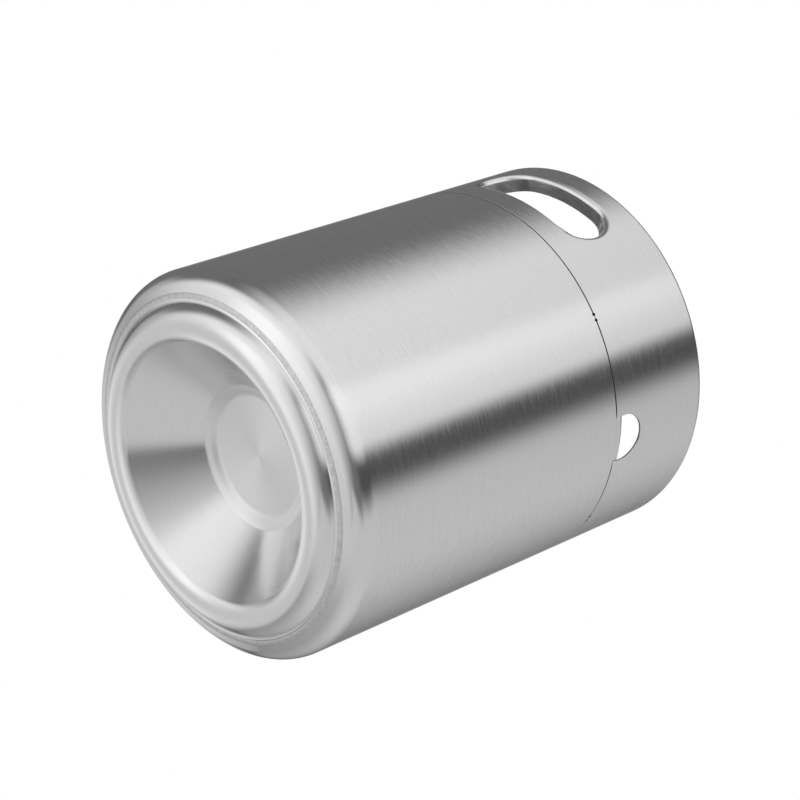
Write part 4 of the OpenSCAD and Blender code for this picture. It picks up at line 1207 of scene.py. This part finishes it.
class KEG_OT_relief(bpy.types.Operator):
    """Builds the relief valve's pull ring and gives every remaining CAD node its finish"""

    bl_idname = "keg.relief"
    bl_label = "Relief valve and finishes"

    def execute(self, context):
        place(self.pull_ring(), "pull_ring", "machined_steel", material("bright_wire"), "relief_pull_ring")
        finishes = {
            "turned_plain": ("head_plate", "gas_tube", "beer_dip_tube", "relief_body", "relief_stem"),
            "bright_wire": ("gas_poppet_spring", "beer_poppet_spring", "relief_spring"),
            "seal_rubber": (
                "head_gasket", "gas_poppet_seal", "beer_poppet_seal", "gas_tube_seal", "beer_tube_seal",
                "relief_body_seal", "relief_stem_seal"),
        }
        for name, nodes in finishes.items():
            for kept in nodes:
                for slot in bpy.data.objects[kept].material_slots:
                    slot.material = material(name)
        # Each spring's joint and its end that stays where it is: 0 the lower one, 1 the upper one.
        springs = {
            "gas_poppet_spring": ("gas_poppet_press", 0), "beer_poppet_spring": ("beer_poppet_press", 0),
            "relief_spring": ("relief_lift", 1)}
        for name, (joint, held_end) in springs.items():
            held = (*middle_of(name), corner(name, held_end, 2))
            left = 1 - context.scene.keg_head.travel / (corner(name, 1, 2) - corner(name, 0, 2))
            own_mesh(bpy.data.objects[name])
        return {"FINISHED"}

    def pull_ring(self):
        """Torus ((R + r cos u) cos a, (R + r cos u) sin a, r sin u), leaned to the height of its CAD node."""
        name, wire_r = "relief_pull_ring", bpy.context.scene.keg_head.wire_d / 2
        low, high = ([corner(name, end, axis) for axis in range(3)] for end in (0, 1))
        ring_r = (high[0] - low[0]) / 2 - wire_r
        around = np.arange(PULL_COLUMNS) * 2 * np.pi / PULL_COLUMNS
        section = (np.arange(THIN_SIDES) * 2 * np.pi / THIN_SIDES)[:, None]
        out = ring_r + wire_r * np.cos(section)
        flat = np.dstack([out * np.cos(around), out * np.sin(around), wire_r * np.sin(section) + 0 * around])
        droop = np.arcsin((high[2] - low[2] - 2 * wire_r) / (2 * ring_r))
        lean = np.array([[1, 0, 0], [0, np.cos(droop), -np.sin(droop)], [0, np.sin(droop), np.cos(droop)]])
        grid = flat @ lean + (np.array(low) + high) / 2
        return surface(name + "_wire", [bent_grid(grid, section * wire_r)])


class KEG_OT_stage(bpy.types.Operator):
    """Builds the floor, the light and the camera"""

    bl_idname = "keg.stage"
    bl_label = "Stage"

    def execute(self, context):
        studio = context.scene.keg_studio
        ahead = Vector(studio.camera_ahead).normalized()
        up = Vector(studio.camera_up)
        right = ahead.cross(up).normalized()
        up = right.cross(ahead)
        camera = bpy.data.objects.new("camera", bpy.data.cameras.new("camera"))
        context.scene.collection.objects.link(camera)
        turned_to = Matrix((right, up, -ahead)).transposed()
        camera.matrix_world = Matrix.Translation(studio.camera_at) @ turned_to.to_4x4()
        camera.data.lens = studio.lens
        camera.data.sensor_width = 36.0
        camera.data.clip_start = 0.01
        context.scene.camera = camera
        self.light_tent(context, studio)
        self.floor(studio)
        context.scene.view_settings.view_transform = "Standard"
        return {"FINISHED"}

    def light_tent(self, context, studio):
        """World that is white to the camera and a ring of soft lights to everything else."""
        world = bpy.data.worlds.new("light_tent")
        context.scene.world = world
        world.use_nodes = True
        tree = world.node_tree
        back = tree.nodes["Background"]
        x, y, height = xyz(tree, tree.nodes.new("ShaderNodeTexCoord").outputs["Generated"])
        azimuth = math_node(tree, "DEGREES", math_node(tree, "ARCTAN2", y, x))
        azimuth = math_node(tree, "WRAP", azimuth, AROUND_END, AROUND_START)
        between = {"tall": studio.dark, "low": studio.low_dark, "side": studio.low_dark}
        lit = {
            group: self.lights(tree, azimuth, lights, between.get(group, 0.0))
            for group, lights in LIGHTS.items()}
        share = {group: ranged(tree, height, *ends, 0.0, 1.0) for group, ends in HEIGHTS.items()}
        tall = math_node(tree, "MULTIPLY_ADD", lit["middle"], share["middle"], lit["tall"])
        tall = math_node(tree, "MULTIPLY_ADD", lit["foot"], share["foot"], tall)
        low = math_node(tree, "MULTIPLY_ADD", lit["strip_foot"], share["strip_foot"], lit["low"])
        under = math_node(tree, "MULTIPLY_ADD", x, studio.under_x, studio.under)
        under = math_node(tree, "MULTIPLY_ADD", y, -studio.under_y, under)
        under = math_node(tree, "MAXIMUM", under, math_node(tree, "MULTIPLY", lit["side"], share["side"]))
        total = mixed(tree, "FLOAT", share["low"], tall, low)
        total = mixed(tree, "FLOAT", share["under"], total, under)
        total = mixed(tree, "FLOAT", share["over"], total, studio.over)
        seen = tree.nodes.new("ShaderNodeLightPath").outputs["Is Camera Ray"]
        tree.links.new(mixed(tree, "FLOAT", seen, total, 1.0), back.inputs["Strength"])
        back.inputs["Color"].default_value = (1, 1, 1, 1)

    def lights(self, tree, azimuth, lights, level_between):
        """Sum of the lights at an azimuth, over the level between them."""
        total = level_between
        for start, full, fade, end, strength in lights.values():
            rise = ranged(tree, azimuth, start, full, 0.0, strength)
            fall = ranged(tree, azimuth, fade, end, 1.0, 0.0)
            total = math_node(tree, "ADD", math_node(tree, "MULTIPLY", rise, fall), total)
        return total

    def floor(self, studio):
        """Pale round floor that shows from above only."""
        radius = studio.floor_r * np.array([1, 0.5, 0.25, 0])
        section = np.stack([radius, 0 * radius], axis=1)
        ground = lathe("floor", section, closed=False, around=SMALL_AROUND)
        made, tree, shader = new_material("pale_floor")
        look = {
            "Base Color": (*[studio.floor_pale] * 3, 1), "Roughness": studio.floor_pale,
            "Emission Color": (1, 1, 1, 1), "Emission Strength": studio.floor_glow}
        for key, value in look.items():
            shader.inputs[key].default_value = value
        under = tree.nodes.new("ShaderNodeNewGeometry")
        clear = tree.nodes.new("ShaderNodeBsdfTransparent")
        joined = tree.nodes.new("ShaderNodeMixShader")
        out = tree.nodes["Material Output"]
        tree.links.new(under.outputs["Backfacing"], joined.inputs["Fac"])
        tree.links.new(shader.outputs[0], joined.inputs[1])
        tree.links.new(clear.outputs[0], joined.inputs[2])
        tree.links.new(joined.outputs[0], out.inputs["Surface"])
        ground.data.materials.append(made)
        ground.visible_glossy = False
        ground.visible_diffuse = False
        ground.visible_shadow = False


class KEG_PT_panel(bpy.types.Panel):
    """Lists the keg's operators"""

    bl_idname = "KEG_PT_panel"
    bl_label = "Keg"
    bl_space_type = "VIEW_3D"
    bl_region_type = "UI"
    bl_category = "Keg"

    def draw(self, context):
        for operator in BUILDERS:
            self.layout.operator(operator.bl_idname)


BUILDERS = (
    KEG_OT_stage, KEG_OT_vessel, KEG_OT_collar, KEG_OT_welds, KEG_OT_spout, KEG_OT_posts, KEG_OT_relief)
GROUPS = {"keg_sizes": KegSizes, "keg_head": KegHead, "keg_finish": KegFinish, "keg_studio": KegStudio}


def register():
    """Registers the classes and gives every scene the groups of sizes."""
    for group in GROUPS.values():
        bpy.utils.register_class(group)
    for operator in (*BUILDERS, KEG_PT_panel):
        bpy.utils.register_class(operator)
    for name, group in GROUPS.items():
        setattr(bpy.types.Scene, name, PointerProperty(type=group))


def unregister():
    """Takes the groups and the classes away again."""
    for name in GROUPS:
        delattr(bpy.types.Scene, name)
    for made in (KEG_PT_panel, *reversed(BUILDERS), *GROUPS.values()):
        bpy.utils.unregister_class(made)


def main():
    """Builds every piece in order."""
    register()
    for operator in BUILDERS:
        group, name = operator.bl_idname.split(".")
        getattr(getattr(bpy.ops, group), name)()


if __name__ == "__main__":
    main()
